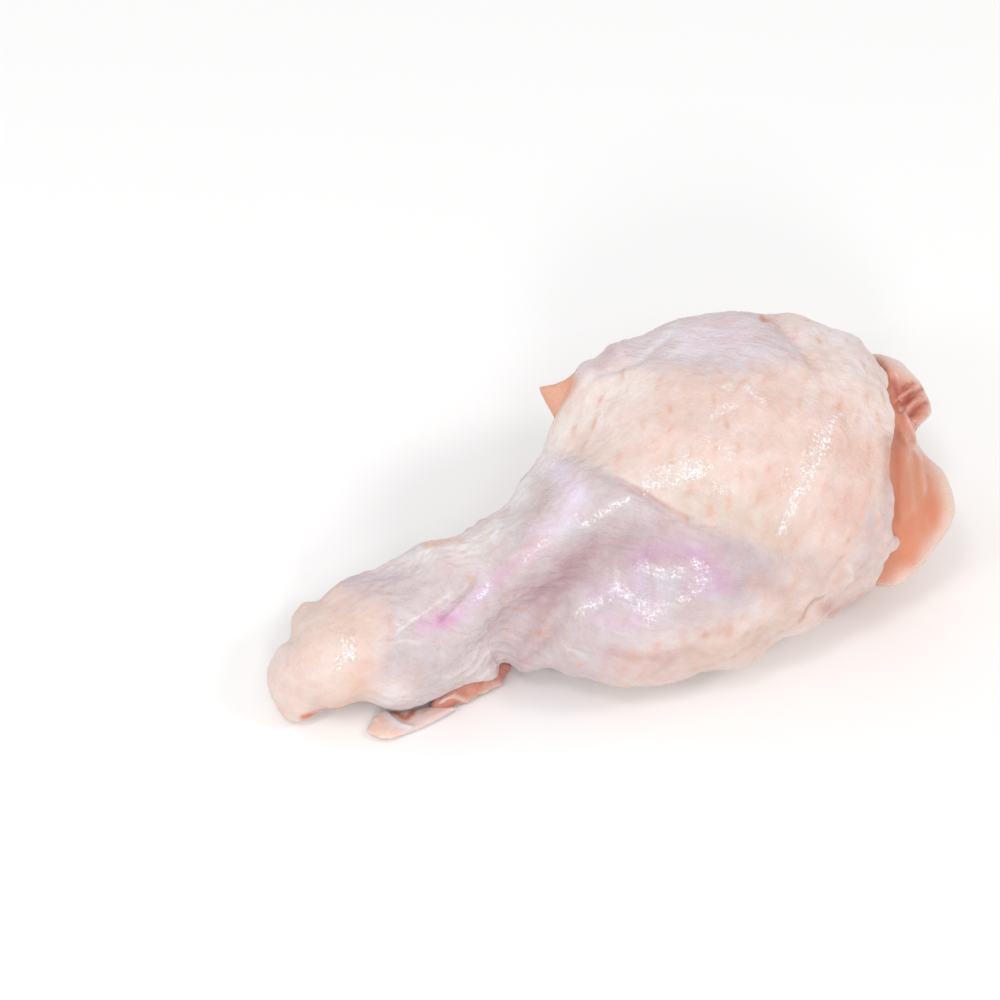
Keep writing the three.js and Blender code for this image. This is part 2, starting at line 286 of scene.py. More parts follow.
# %% Soft steps, humps and noise
def step(value, start, end):
    """Rises smoothly from 0 at start to 1 at end."""
    t = np.clip((value - start) / (end - start), 0, 1)
    return t * t * (3 - 2 * t)


def hump(distance, width):
    """1 on a line, falling off on both sides over a width."""
    return np.exp(-((distance / width) ** 2))


def fade(along, start, end):
    """1 along the middle of a line, and less towards its ends."""
    return step(along, 0, start) * (1 - step(along, 1 - end, 1))


def grain(points, size, seed=0.0):
    """Smooth noise from about -1 to 1, with lumps of a size. The seed shifts the pattern."""
    return np.array([noise.noise(Vector(p)) for p in points / size + seed])


def streaks(points, direction, across, along, seed=0.0):
    """Noise that is drawn out along a direction, like wrinkles."""
    d = np.array(Vector(direction).normalized())
    length = points @ d
    rest = points - length[:, None] * d
    return grain(rest / across + np.outer(length / along, d), 1.0, seed)


print("halfway up a step:", float(step(0.5, 0, 1)))

# %% [markdown]
# ## The picture as a plan
# The photograph is the plan for what shows on the near side, such as a fold, a bruise or a
# sparkle. So every point of the mesh is asked where in the picture it is seen, and lines and
# dabs are drawn there, as on a tracing. The picture is counted in thousandths of its width,
# from the top left corner. A dab fades out on the far side, which the picture doesn't show.

# %% Find where a point is seen
VIEW_RIGHT = np.array((0.89101, -0.45399, 0.0))
VIEW_UP = np.array((0.32657, 0.64094, 0.69466))
EYE = np.array(camera.location) / MM
MM_SEEN = 6.7  # a millimetre of the drumette spans this much of the picture


def seen_at(points):
    """The place of each point in the picture."""
    gap = points - EYE
    scale = 1000 * camera.data.lens / camera.data.sensor_width / -(gap @ np.array(VIEW_BACK))
    return np.stack([500 + gap @ VIEW_RIGHT * scale, 500 - gap @ VIEW_UP * scale], 1)


def faces_us(outs):
    """1 on the near side, 0 on the far side."""
    return step(outs @ np.array(VIEW_BACK), -0.07, 0.13)


print("the CAD origin is seen at", np.round(seen_at(np.zeros((1, 3)))[0]))


# %% Draw strokes and push points in the picture
def from_line(seen, corners, within=90.0):
    """Distance from a line in the picture, positive on its right hand, and how far along."""
    line = smooth_curve(corners, 5)
    near = np.flatnonzero(((seen > line.min(0) - within) & (seen < line.max(0) + within)).all(1))
    side, along = np.full(len(seen), 999.0), np.zeros(len(seen))
    least, p = np.full(len(near), 1e9), seen[near]
    for i in range(len(line) - 1):
        run = line[i + 1] - line[i]
        t = np.clip((p - line[i]) @ run / (run @ run + 1e-9), 0, 1)
        gap = p - line[i] - t[:, None] * run
        far = (gap ** 2).sum(1)
        closer = far < least
        least[closer] = far[closer]
        hand = np.where(run[0] * gap[:, 1] - run[1] * gap[:, 0] < 0, -1, 1)
        side[near[closer]] = (hand * np.sqrt(far))[closer]
        along[near[closer]] = ((i + t) / (len(line) - 1))[closer]
    return side, along


def brush(seen, corners, width, ends=0.0):
    """A soft stroke along a line, or a dab at one place. With ends, it thins out at both."""
    if len(corners) == 1:
        return np.exp(-((seen - np.array(corners[0], float)) ** 2).sum(1) / width ** 2)
    side, along = from_line(seen, corners, 4 * width + 4)
    return hump(side, width) * (fade(along, ends, ends) if ends else 1.0)


def nudge(points, pushes):
    """Moves points across the picture. A push is a place, a reach, and how far right and down."""
    seen = seen_at(points)
    for place, reach, across, down in pushes:
        amount = np.exp(-(((seen - place) / reach) ** 2).sum(1))[:, None] / MM_SEEN
        points = points + amount * (across * VIEW_RIGHT - down * VIEW_UP)
    points[:, 2] = np.maximum(points[:, 2], 0)
    return points


middle_of_stroke = brush(np.array([(500.0, 500.0)]), [(450, 500), (550, 500)], 10)
print("a stroke's strength at its middle:", round(float(middle_of_stroke[0]), 2))


# %% Mix and keep colours
def colour_of(red, green, blue):
    """A colour in the usual 0 to 255, as the linear light that Blender mixes."""
    c = np.array((red, green, blue)) / 255
    return ((c + 0.055) / 1.055) ** 2.4


def paint(colours, amount, colour):
    """Lays a colour over the colours at the points, as thickly as amount says."""
    return colours + (colour - colours) * np.clip(amount, 0, 1)[:, None]


def keep_colours(piece, colours):
    """Keeps a colour at each point, which a material reads by the name paint."""
    layer = piece.data.attributes.new("paint", "FLOAT_COLOR", "POINT")
    full = np.concatenate([colours, np.ones((len(colours), 1))], 1)
    layer.data.foreach_set("color", np.clip(full, 0, 1).astype(np.float32).ravel())


print("the skin's peach as light:", np.round(colour_of(237, 214, 204), 2))

# %% [markdown]
# ## The skin
# The skin is a loose, wet sleeve. Over the shoulder it is a thick peach pad, full of feather
# follicles. Over the shank and the lower lobe it is thin, and the muscle shows through in
# grey and lilac. The CAD skin already has the sleeve, its open lip and its lining, so a copy
# of it is the start. Only the outside and the lip are divided finely: the lining lies
# against the meat, where nothing shows.

# %% Copy the skin and divide its outside
CORE = np.array([
    (-46.1, 5.3, 7.5), (-32.1, 3.9, 9.8), (-16.1, 2.5, 14), (-0.1, 0.5, 17), (17.9, 0.5, 18.5),
    (47.9, -1.5, 17.5),
])  # a line through the middle of the meat, in mm
TAB_ROOT, TAB_TIP = np.array((4.1, 14.5, 29.6)), np.array((-0.4, 23.5, 28.8))


def away_from_core(points):
    """The direction from the middle line to each point."""
    middle = np.stack([np.interp(points[:, 0], CORE[:, 0], CORE[:, k]) for k in range(3)], 1)
    gap = points - middle
    return gap / np.linalg.norm(gap, axis=1)[:, None]


def near_tab(points):
    """The distance from each point to the middle line of the tab."""
    run = TAB_TIP - TAB_ROOT
    t = np.clip((points - TAB_ROOT) @ run / (run @ run), 0, 1)
    return np.linalg.norm(points - TAB_ROOT - t[:, None] * run, axis=1)


skin = copy_of_node("skin", "skin_sleeve")
middles, outs = face_middles(skin)
facing_out = (outs * away_from_core(middles)).sum(1) > -0.45
facing_out |= (near_tab(middles) < 7) & (middles[:, 1] > 15.5)
divide_faces(skin, facing_out, 4)
print("skin faces:", len(skin.data.polygons), "of which the outside was", int(facing_out.sum()))

CRISP_LINES = [
    [(585, 459), (602, 470), (625, 482), (650, 497), (685, 518), (705, 524)],
    [(480, 572), (470, 589), (456, 603), (442, 617), (432, 626)],
    [(386, 642), (401, 629), (418, 617), (444, 598)], [(798, 622), (812, 603), (824, 597)],
    [(758, 310), (772, 320)],
]
middles, outs = face_middles(skin)
close = np.zeros(len(middles))
for line in CRISP_LINES:
    close = np.maximum(close, brush(seen_at(middles), line, 8) * faces_us(outs))
divide_faces(skin, close > 0.4, 2)
print("and with finer faces along the crisp lines:", len(skin.data.polygons))

# %% [markdown]
# The divided faces still lie on the flat facets, so they are relaxed, except on the thin tab
# and the lip, which would shrink. Then the outline is set against the picture: where the
# real skin stands out further or less, a push moves the points there a little.

# %% Relax the facets away, but keep the thin tab and the lip
skin_points = points_of(skin)
skin_outs = normals_of(skin)
outside = (skin_outs * away_from_core(skin_points)).sum(1) > 0.0
tab = step(8.5 - near_tab(skin_points), 0, 2.5) * (skin_points[:, 1] > 15)
softness = np.where(outside, 0.5, 0.15) * (1 - 0.93 * tab)
relax(skin, softness, 14)

SKIN_PUSHES = [  # place, reach, and how far right and down
    ((528, 648), 20, -2, 24), ((490, 676), 12, 10, 8), ((700, 690), 45, 0, -8),
    ((775, 642), 28, -6, -7), ((365, 712), 18, 0, -9), ((284, 630), 14, 7, 8),
    ((306, 605), 8, -2, -3), ((362, 574), 24, 0, -5), ((402, 560), 22, 0, -4),
    ((562, 668), 20, 0, 7), ((322, 716), 14, 0, -5), ((432, 545), 20, -2, -6),
    ((522, 482), 20, -6, -6), ((584, 380), 18, -2, -13), ((612, 350), 22, -4, -10),
    ((718, 306), 22, 0, 6), ((790, 322), 36, 2, -13), ((852, 345), 18, 0, -6),
]
skin_points = nudge(points_of(skin), SKIN_PUSHES)
place_points(skin, skin_points)
pushed_hard = brush(seen_at(skin_points), [(498, 600), (512, 630), (528, 650)], 20)
in_valley = pushed_hard * faces_us(normals_of(skin))
relax(skin, 0.5 * in_valley, 30)
skin_points = points_of(skin)
skin_outs = normals_of(skin)
print("skin triangles:", sum(len(f.vertices) - 2 for f in skin.data.polygons))

# %% [markdown]
# ### Where the skin is thick
# The edge of the thick skin runs from the back, over the top, and down the front to the
# shoulder end. A second, softer border runs behind the pad, where the top of the muscle is
# bare and lilac. The knuckle and the lower edge of the lobe have thicker, bumpy skin too.
# Each border is a line or a simple curve, and their mix is one number at each point.

# %% Find the zones
PAD_EDGE = [
    (-3.1, 20.5, 14), (-5.0, 16.8, 22), (-4.6, 13.5, 26.0), (-4.4, 9.3, 29.1), (-3.5, 5.1, 32.0),
    (-2.9, -0.3, 34.3), (-1.5, -4.5, 34.8), (0.6, -7.9, 33.9), (2.7, -11.2, 33.0),
    (5.2, -13.9, 32.3), (8.4, -16.9, 31.2), (12.6, -19.5, 29.1), (17.2, -21.8, 26.1),
    (21.7, -23.4, 19.8), (28.9, -21.5, 11),
]
KNUCKLE_BORDER = [
    (280, 612), (300, 597), (325, 588), (352, 590), (378, 598), (390, 614), (389, 640), (380, 654),
    (376, 690), (372, 715),
]
LOBE_BORDER = [
    (570, 690), (600, 664), (640, 646), (680, 636), (710, 622), (738, 604), (760, 584), (782, 566),
    (800, 556),
]

into_pad, along_pad_edge = beside(skin_points, skin_outs, PAD_EDGE, 60)
x, y, z = skin_points.T
seen = seen_at(skin_points)
near_side = faces_us(skin_outs)
blur = 1.1 * grain(skin_points, 4.5, 3.0) + 0.6 * grain(skin_points, 1.6, 9.0)

vague = step(along_pad_edge, 0.52, 0.72)  # towards the front the border has no sharp edge
edge_blur = blur * (0.3 + 1.3 * vague)
on_pad = step(into_pad + edge_blur, -0.6 - 4.0 * vague, 1.0 + 3.5 * vague) * step(x, -13, -7)
BACK_BORDER = [
    (1, 17), (5, 15), (9.2, 11), (12, 7.2), (15.6, 5), (19.2, 2.9), (23.3, 1.5), (27, 0.7),
    (29.8, 0.4), (33, 1),
]
border_y = np.interp(x, *np.array(BACK_BORDER).T)
far_side = 1 - near_side
bare_end = step(33.6 + (0.6 + 2 * far_side) * blur - x, 0, 3.0 + 3 * far_side)
bare_top = step(y - border_y + 1.4 * blur, -2.2, 3.4) * bare_end * step(z + blur, 14, 23)
bare_top *= step(y, -3, 1)
side, _ = from_line(seen, KNUCKLE_BORDER, 700)
front_knuckle = step(side + 8 * blur, -17, 19) * (x < -28)
knuckle = near_side * front_knuckle + far_side * step(-38 - x + 1.5 * blur, -3, 3)
side, _ = from_line(seen, LOBE_BORDER, 700)
lobe_edge = step(side + 9 * blur, -18, 20) * step(x, -15, -7) * step(-4 - y, 0, 5)
underside = step(9 - z + blur, 0, 7) * step(x, -16, -4) * far_side
low_back = step(x + 1.5 * blur, -2, 9) * step(17 + 2 * blur - z, 0, 9)
low_back = np.maximum(low_back, step(x + 2 * blur, 24, 32)) * far_side
thick_places = [on_pad * (1 - bare_top), knuckle, 0.9 * lobe_edge, 0.9 * underside, low_back]
thick = np.clip(np.maximum.reduce(thick_places), 0, 1)
print("share of the skin that is thick:", round(float(thick[outside].mean()), 2))

# %% [markdown]
# ### Large folds
# The pad's edge is a step with a rolled brim and a tight crease under it. The valley between
# shank and lobe is deepest at its lower end, where the shank's skin laps over the lobe.
# The shank has one dark fold with fine pale folds beside it. All of these are height curves
# over the distance from a line, so they are real shape and catch the light by themselves.

# %% Trace the folds
CORNER_CREASE = [(800, 620), (812, 603), (822, 598), (838, 590)]
PAD_BACK = [
    (578, 396), (592, 383), (605, 377), (625, 371), (640, 365), (655, 355), (668, 342), (680, 328),
]
TOP_FOLD = [(768, 314), (780, 326), (792, 340), (806, 356), (820, 380)]
RIDGE = [
    (484, 592), (510, 576), (536, 552), (560, 534), (585, 522), (602, 512), (620, 503), (645, 494),
]
VALLEY = [
    (640, 545), (610, 566), (590, 582), (572, 600), (556, 622), (545, 641), (530, 655), (518, 664),
]
SHANK_FOLD = [(480, 572), (470, 589), (456, 603), (442, 617), (432, 626)]
UNDER_FOLD = [(806, 620), (825, 606), (850, 597), (878, 588)]
FINE_FOLDS = [
    [(386, 642), (401, 629), (418, 617), (444, 598), (460, 585)],
    [(386, 642), (405, 641), (428, 643)],
    [(434, 680), (451, 676), (467, 667), (476, 653), (482, 640)],
    [(446, 685), (460, 679), (475, 669), (487, 653), (501, 643)],
    [(455, 689), (478, 680), (496, 664), (508, 646)], [(560, 640), (575, 652), (592, 660)],
    [(612, 560), (618, 575), (614, 590)], [(845, 560), (852, 575), (848, 592)],
    [(655, 372), (690, 340), (702, 322)], [(505, 560), (520, 553), (533, 548)],
]
print("fine folds:", len(FINE_FOLDS))


# %% Shape the folds
def drawn(corners, width, ends=0.25):
    """A stroke on the near side of the skin."""
    return brush(seen, corners, width, ends) * near_side


height = np.zeros(len(skin_points))
across_picture = seen[:, 0]
crisp = fade(along_pad_edge, 0.2, 0.2) * (1 - step(across_picture, 690, 740))
crisp *= (0.35 + 0.65 * step(across_picture, 592, 625)) * near_side
height += fade(along_pad_edge, 0.1, 0.3) * 0.45 * hump(into_pad + 1.6, 2.2) * (1 - 0.6 * crisp)
brim = 0.3 * step(into_pad, -0.4, 0.5) * step(6 - into_pad, 0, 5)
height += crisp * (brim - 0.34 * hump(into_pad + 0.3, 0.75))
side, _ = from_line(seen, CORNER_CREASE)
height += 0.45 * drawn(CORNER_CREASE, 12) * step(-side, -3, 3) - 0.4 * drawn(CORNER_CREASE, 3.2)
side, _ = from_line(seen, PAD_BACK)
under_pad_back = [(px - 3, py - 3) for px, py in PAD_BACK]
height += 0.5 * drawn(PAD_BACK, 16) * step(side, -4, 4) - 0.25 * drawn(under_pad_back, 3.5)
height += -0.35 * drawn(TOP_FOLD, 4) + 0.25 * drawn([(px + 9, py - 4) for px, py in TOP_FOLD], 6)
height -= 0.55 * drawn([(765, 318)], 4)
height += 0.55 * drawn(RIDGE, 11)
height += 0.7 * drawn([(606, 556), (578, 578), (556, 602)], 24)  # fills the valley's upper end
height -= 0.5 * drawn(VALLEY[3:], 6)
side, _ = from_line(seen, VALLEY)
height += 0.5 * drawn(VALLEY[3:], 14) * step(side, -2, 3)  # the shank's skin laps over the lobe
height += -0.38 * drawn(SHANK_FOLD, 3.0) + 0.3 * drawn(SHANK_FOLD, 12)
height -= 0.5 * drawn(UNDER_FOLD, 4)
fine_line = np.zeros(len(skin_points))
for fold in FINE_FOLDS:
    fine_line = np.maximum(fine_line, drawn(fold, 2.4))
height += 0.19 * fine_line

# a shallow round hollow in the lobe, with a soft rim
around = np.sqrt(((seen[:, 0] - 655) / 46) ** 2 + ((seen[:, 1] - 588) / 24) ** 2)
height += near_side * (0.32 * hump(around - 1, 0.28) - 0.2 * hump(around, 0.6))
print("largest fold, mm:", round(float(np.abs(height).max()), 2))

# %% [markdown]
# ### Follicles
# Each feather left a follicle: a small raised bump with a pit, and an orange streak where
# the shaft lay. They stand about 3.4 mm apart, near enough in rows but never quite. To
# spread them, points are picked in a random order that is the same each time, and a point is
# kept only if no follicle stands closer than the spacing.

# %% Spread the follicles
def spread(points, allowed, spacing, seed):
    """The numbers of points that stand at least their spacing apart."""
    free = allowed.copy()
    kept = []
    for i in np.random.default_rng(seed).permutation(np.flatnonzero(allowed)):
        if free[i]:
            kept.append(i)
            free[((points - points[i]) ** 2).sum(1) < spacing[i] ** 2] = False
    return kept


spacing = 2.9 + 0.8 * grain(skin_points, 9, 21.0)
allowed = outside & (thick > 0.35) & (tab < 0.3) & (np.abs(into_pad) > 1.7)
follicles = spread(skin_points, allowed, spacing, 7)
print("follicles:", len(follicles))

# %% Shape the follicles
luck = np.random.default_rng(11)
follicle_mark = np.zeros(len(skin_points))
bumps = np.zeros(len(skin_points))
for i in follicles:
    lean = VIEW_UP + VIEW_RIGHT * (luck.normal(0.0, 0.3) + 0.35 * step(x[i], 12, 30))
    lean = lean - (lean @ skin_outs[i]) * skin_outs[i]
    lean /= np.linalg.norm(lean) + 1e-9
    across = np.cross(skin_outs[i], lean)
    gap = skin_points - skin_points[i]
    near = np.flatnonzero((gap ** 2).sum(1) < 9)
    u, v = gap[near] @ lean, gap[near] @ across
    size = luck.uniform(0.6, 1.25)
    strong = luck.uniform(0.3, 1.0) * thick[i] * (1 - 0.6 * knuckle[i])
    bumps[near] += strong * (0.2 * np.exp(-(u / (1.4 * size)) ** 2 - (v / (1.0 * size)) ** 2)
                             - 0.17 * np.exp(-((u + 0.5) / 0.45) ** 2 - (v / 0.4) ** 2))
    streak = (1 - 0.75 * knuckle[i]) * luck.uniform(0.15, 1) ** 1.3
    streak = streak * np.exp(-((u + 0.2) / (1.25 * size)) ** 2 - (v / luck.uniform(0.3, 0.55)) ** 2)
    follicle_mark[near] = np.maximum(follicle_mark[near], streak)
scallop = 1 + 1.3 * lobe_edge + 0.1 * knuckle
height += bumps * scallop * np.where(outside, 1, 0)
print("highest bump, mm:", round(float(bumps.max()), 2))

# %% [markdown]
# ### Wrinkles and lumps
# Between the folds the skin is never smooth. The thick skin has low lumps and wrinkles that
# run up the pad. The thin skin is drawn into fine creases across the shank, and where it is
# wettest it is crumpled, which breaks the light into sparkles.

# %% Mark where the skin is wettest
WET = [  # strength, width and the line or place in the picture
    (1.0, 9, [(648, 482), (672, 478), (700, 472)]), (0.8, 7, [(655, 470), (690, 463)]),
    (0.6, 6, [(708, 440), (722, 444), (732, 456)]), (0.7, 7, [(708, 420), (722, 410), (734, 404)]),
    (0.7, 6, [(722, 387), (732, 386)]), (0.8, 7, [(748, 390), (762, 402)]),
    (0.45, 6, [(702, 494), (728, 486)]), (0.8, 7, [(838, 414), (828, 436)]),
    (1.0, 9, [(824, 440), (812, 462), (803, 486)]), (0.9, 7, [(800, 490), (790, 512), (782, 530)]),
    (0.5, 6, [(788, 470), (782, 490)]), (0.4, 9, [(842, 382)]), (1.0, 9, [(347, 642), (350, 656)]),
    (0.35, 16, [(345, 652)]), (0.8, 3.5, [(574, 511), (585, 525)]),
    (1.0, 3.5, [(585, 525), (600, 514), (617, 504), (629, 498)]), (0.8, 4, [(645, 493)]),
    (0.8, 3, [(552, 533)]), (0.8, 3, [(536, 549)]), (0.6, 5, [(548, 540), (520, 562)]),
    (0.9, 4, [(481, 597), (489, 585)]), (0.5, 4, [(444, 636)]), (0.7, 3, [(451, 650)]),
    (0.7, 4, [(474, 685)]), (0.35, 5, [(400, 630), (425, 611)]),
    (1.0, 8, [(644, 566), (662, 573), (679, 572)]), (1.0, 6, [(696, 562), (705, 568)]),
    (1.0, 7, [(705, 576), (694, 588)]), (0.8, 5, [(690, 595), (664, 604)]),
    (0.9, 7, [(662, 607), (648, 620)]), (1.0, 8, [(620, 588), (632, 598), (644, 608)]),
    (0.6, 5, [(612, 587), (617, 570)]), (0.9, 7, [(612, 596), (594, 605), (578, 615)]),
    (0.5, 5, [(562, 643), (570, 655)]), (0.34, 30, [(655, 590)]), (0.26, 14, [(760, 440)]),
    (0.24, 18, [(690, 440)]),
]
# the wet mask sets the gloss, and it also places the painted glints that the skin's material turns
# near-white
wet = np.zeros(len(skin_points))
for strong, width, corners in WET:
    wet = np.maximum(wet, strong * brush(seen, corners, width) * near_side)
wet = np.maximum(wet, 0.5 * (1 - near_side) * step(grain(skin_points, 7, 71.0), 0.25, 0.6))
print("wet places:", len(WET))

# %% Shape the wrinkles and lumps
height += 0.17 * grain(skin_points, 6.5, 1.0) * (0.5 + thick)
height += 0.14 * grain(skin_points, 2.4, 5.0)
along_pad = step(x, 2, 14)
up_the_pad = streaks(skin_points, VIEW_UP + 0.5 * VIEW_RIGHT, 1.5, 7.0, 12.0)
across_the_pad = streaks(skin_points, VIEW_RIGHT - 0.3 * VIEW_UP, 1.2, 6.0, 15.0)
height += 0.20 * thick * along_pad * up_the_pad
height += 0.16 * thick * (1 - along_pad) * across_the_pad * step(x, -12, -4)
height += 0.2 * (1 - thick) * streaks(skin_points, VIEW_RIGHT - 0.45 * VIEW_UP, 0.8, 6.0, 18.0)
height += 0.10 * (1 - thick) * grain(skin_points, 1.1, 19.0)
height += 0.10 * knuckle * streaks(skin_points, VIEW_RIGHT + VIEW_UP, 0.9, 5.0, 25.0)
height += 0.10 * wet * grain(skin_points, 1.2, 41.0)
lip = step(x, 29, 36) * outside
height += 0.14 * lip * grain(skin_points, 1.5, 51.0)

rests = step(z, 0.4, 2.0)  # the underside stays flat on the table
keep = np.where((skin_outs * away_from_core(skin_points)).sum(1) > -0.3, 1, 0.0)
moved = skin_points + skin_outs * (height * rests * keep * (1 - 0.7 * tab))[:, None]
moved[:, 2] = np.maximum(moved[:, 2], 0)
place_points(skin, moved)
print("skin box, mm:", np.round(moved.min(0), 1), np.round(moved.max(0), 1))

# %% [markdown]
# ### What the skin's colours follow
# Bruised magenta and lilac: the colours of raw skin lie in soft patches, one over the other.
# The maroon in the valley is partly its own tone and partly painted shade, and the orange at
# the tab and in the folds and the thin dark lines in the creases are painted shade. All of
# them are painted at the points of the mesh as with a soft brush, and kept there as a colour
# attribute. The material reads it and adds what is finer than the mesh.

# %% Choose the strokes of paint for the skin
PAINT = [  # colour, strength, width and the line or place in the picture
    # the knuckle
    ((229, 201, 187), 0.6, 42, [(320, 648), (345, 625)]),
    ((228, 196, 180), 0.5, 16, [(335, 700), (365, 690)]),
    # the lip at the shoulder end
    ((196, 156, 144), 0.9, 7, [(887, 440), (887, 480), (887, 525)]),
    ((196, 164, 156), 0.8, 6, [(893, 545)]),
    # the pad
    ((248, 234, 226), 0.8, 30, [(560, 435), (590, 405), (625, 390)]),
    ((236, 206, 195), 0.5, 26, [(660, 405), (700, 400), (745, 425)]),
    ((234, 200, 186), 0.6, 26, [(780, 400), (780, 450), (760, 490)]),
    ((220, 198, 183), 0.85, 24, [(690, 500), (740, 515), (775, 530)]),
    ((230, 192, 178), 0.85, 26, [(850, 420), (858, 470), (850, 520)]),
    ((248, 229, 220), 0.8, 22, [(830, 370), (850, 385), (870, 410)]),
    ((246, 232, 230), 0.8, 18, [(800, 328), (830, 335), (860, 352)]),
    ((220, 196, 187), 0.85, 26, [(800, 575), (835, 580), (865, 570)]),
    # beside the lip
    ((214, 196, 194), 0.75, 12, [(874, 515), (873, 545), (866, 560)]),
    ((220, 200, 200), 0.6, 6, [(890, 490), (889, 520), (893, 543)]),
    ((229, 212, 200), 0.5, 14, [(560, 462), (600, 462)]),
    # the bare lilac top
    ((241, 224, 228), 0.9, 18, [(690, 338), (715, 330), (745, 338)]),
    ((229, 213, 216), 0.8, 16, [(720, 356), (750, 352), (780, 350)]),
    ((236, 210, 220), 0.5, 14, [(700, 345), (730, 332)]),
    ((238, 218, 219), 0.8, 14, [(605, 362), (620, 345), (650, 330)]),
    # the second mark on the next line is painted shade in the left fold
    ((226, 200, 210), 0.5, 8, [(636, 352)]), ((214, 190, 192), 0.6, 7, [(600, 366), (610, 352)]),
    # the crease behind the pad
    ((240, 230, 233), 0.8, 4, [(634, 364), (660, 341), (679, 321)]),
    # the neck and the top of the shank
    ((241, 231, 228), 0.85, 16, [(470, 545), (490, 528), (512, 500), (528, 474), (545, 461)]),
    ((242, 228, 225), 0.8, 18, [(380, 566), (420, 556), (460, 552)]),
    ((236, 218, 229), 1.0, 15, [(562, 474), (574, 492), (566, 514), (545, 532)]),
    ((228, 200, 216), 0.6, 9, [(548, 546), (532, 552), (522, 560)]),
    # the ridge, and the valley, darkened by painted shade over its own maroon tone
    ((214, 202, 203), 0.85, 9, [(555, 540), (585, 530), (605, 520), (630, 505)]),
    ((207, 180, 184), 0.7, 14, [(620, 530), (650, 525), (690, 535), (715, 548)]),
    ((187, 157, 163), 0.95, 20, [(592, 552), (570, 572), (552, 590), (536, 598)]),
    ((198, 177, 178), 0.9, 15, [(640, 535), (615, 550), (598, 566)]),
    # the lower shank
    ((205, 182, 184), 0.9, 24, [(505, 600), (500, 630), (520, 640)]),
    # painted shade where the shank's skin laps over the lobe
    ((211, 180, 178), 0.5, 9, [(545, 610), (535, 632)]),
    ((208, 192, 192), 0.8, 22, [(405, 655), (425, 668), (440, 680)]),
    ((232, 216, 211), 0.8, 15, [(385, 690), (405, 690)]),
    ((224, 210, 211), 0.4, 14, [(395, 610), (405, 630)]),
    ((213, 190, 198), 0.7, 11, [(352, 582), (372, 580), (395, 578)]),
    ((226, 215, 213), 0.7, 8, [(455, 695), (475, 688), (492, 678)]),
]
print("strokes of paint so far:", len(PAINT))

# %% Add the strokes for the lobe, the bruises and the edges
PAINT += [
    # the lobe
    ((196, 178, 182), 0.85, 13, [(722, 545), (748, 556), (766, 574)]),
    ((196, 176, 182), 0.7, 16, [(745, 575), (740, 592)]),
    ((212, 198, 204), 0.9, 20, [(640, 590), (668, 585)]),
    ((222, 196, 213), 0.6, 12, [(600, 618), (625, 624), (645, 618)]),
    # the lobe's lower edge
    ((212, 194, 196), 0.9, 20, [(575, 650), (595, 665), (620, 655)]),
    ((216, 190, 183), 0.7, 14, [(620, 668), (660, 668), (700, 655)]),
    ((206, 174, 168), 0.7, 6, [(612, 652), (640, 658), (668, 655), (690, 648)]),
    ((212, 172, 160), 0.5, 6, [(684, 632), (705, 635), (730, 626)]),
    ((218, 192, 178), 0.7, 16, [(700, 655), (750, 640), (790, 615)]),
    ((208, 182, 174), 0.7, 14, [(760, 580), (785, 590)]),
    # the bruise on the lobe
    ((208, 168, 192), 0.85, 9, [(640, 558), (662, 550), (684, 552), (702, 562)]),
    ((214, 180, 200), 0.45, 16, [(640, 560), (680, 552), (715, 570)]),
    ((207, 166, 188), 0.8, 10, [(704, 568), (716, 576), (724, 586)]),
    ((210, 176, 200), 0.6, 8, [(690, 590), (708, 590)]),
    ((218, 186, 206), 0.6, 12, [(600, 596), (625, 588), (648, 598)]),
    # the bruise along the shank
    ((220, 190, 206), 0.9, 10, [(424, 627), (440, 622), (456, 616)]),
    ((219, 160, 192), 0.85, 8, [(441, 621), (452, 617)]),
    ((221, 190, 210), 0.8, 7, [(458, 612), (472, 600), (488, 586)]),
    ((224, 186, 205), 0.6, 7, [(496, 578), (512, 566)]),
    # painted shade in the shank's dark fold and at the valley's end
    ((196, 170, 172), 0.5, 3, [(477, 574), (470, 589), (458, 602), (446, 614)]),
    ((224, 178, 152), 0.8, 3, [(471, 579)]),
    ((196, 168, 162), 0.6, 3.5, [(556, 620), (546, 640), (532, 654), (520, 662)]),
    # single red marks
    ((236, 168, 140), 0.8, 2.2, [(523, 609)]), ((232, 150, 118), 0.9, 2.2, [(580, 664)]),
    ((214, 150, 120), 0.8, 2.5, [(541, 633)]), ((222, 158, 130), 0.6, 3, [(705, 635)]),
    ((206, 160, 160), 0.7, 2.5, [(486, 608)]), ((228, 186, 160), 0.6, 3, [(512, 637)]),
    # marks on the top edge
    ((224, 136, 98), 0.9, 3.4, [(762, 317), (769, 321)]),
    ((234, 200, 186), 0.5, 3, [(770, 320), (790, 338), (812, 362), (821, 382)]),
    # painted shade: thin orange and maroon lines in the creases, along the pad's edge and under the
    # folds
    ((238, 182, 154), 0.7, 2.6, [(425, 545), (445, 542), (462, 540)]),
    ((205, 160, 152), 0.9, 7, [(826, 612), (850, 606), (874, 596)]),
    ((212, 166, 146), 0.65, 2.6, [(615, 478), (640, 491), (665, 506), (688, 519)]),
    ((222, 196, 182), 0.5, 4, [(700, 522), (730, 534), (780, 549), (822, 580)]),
    ((206, 158, 140), 0.8, 2.2, [(800, 620), (812, 603), (822, 598)]),
    ((205, 184, 184), 0.5, 6, [(600, 478), (640, 498), (680, 526)]),
    # orange streaks under the knuckle, and in the last stroke painted shade in the gap under its
    # edge
    ((236, 196, 172), 0.4, 5, [(336, 690), (352, 676), (368, 664)]),
    ((236, 194, 170), 0.4, 4, [(350, 694), (366, 680)]),
    ((236, 190, 162), 0.6, 4, [(330, 710), (350, 705)]),
    ((214, 120, 76), 0.9, 3.2, [(303, 717), (314, 714), (326, 711)]),
]
print("strokes of paint:", len(PAINT))

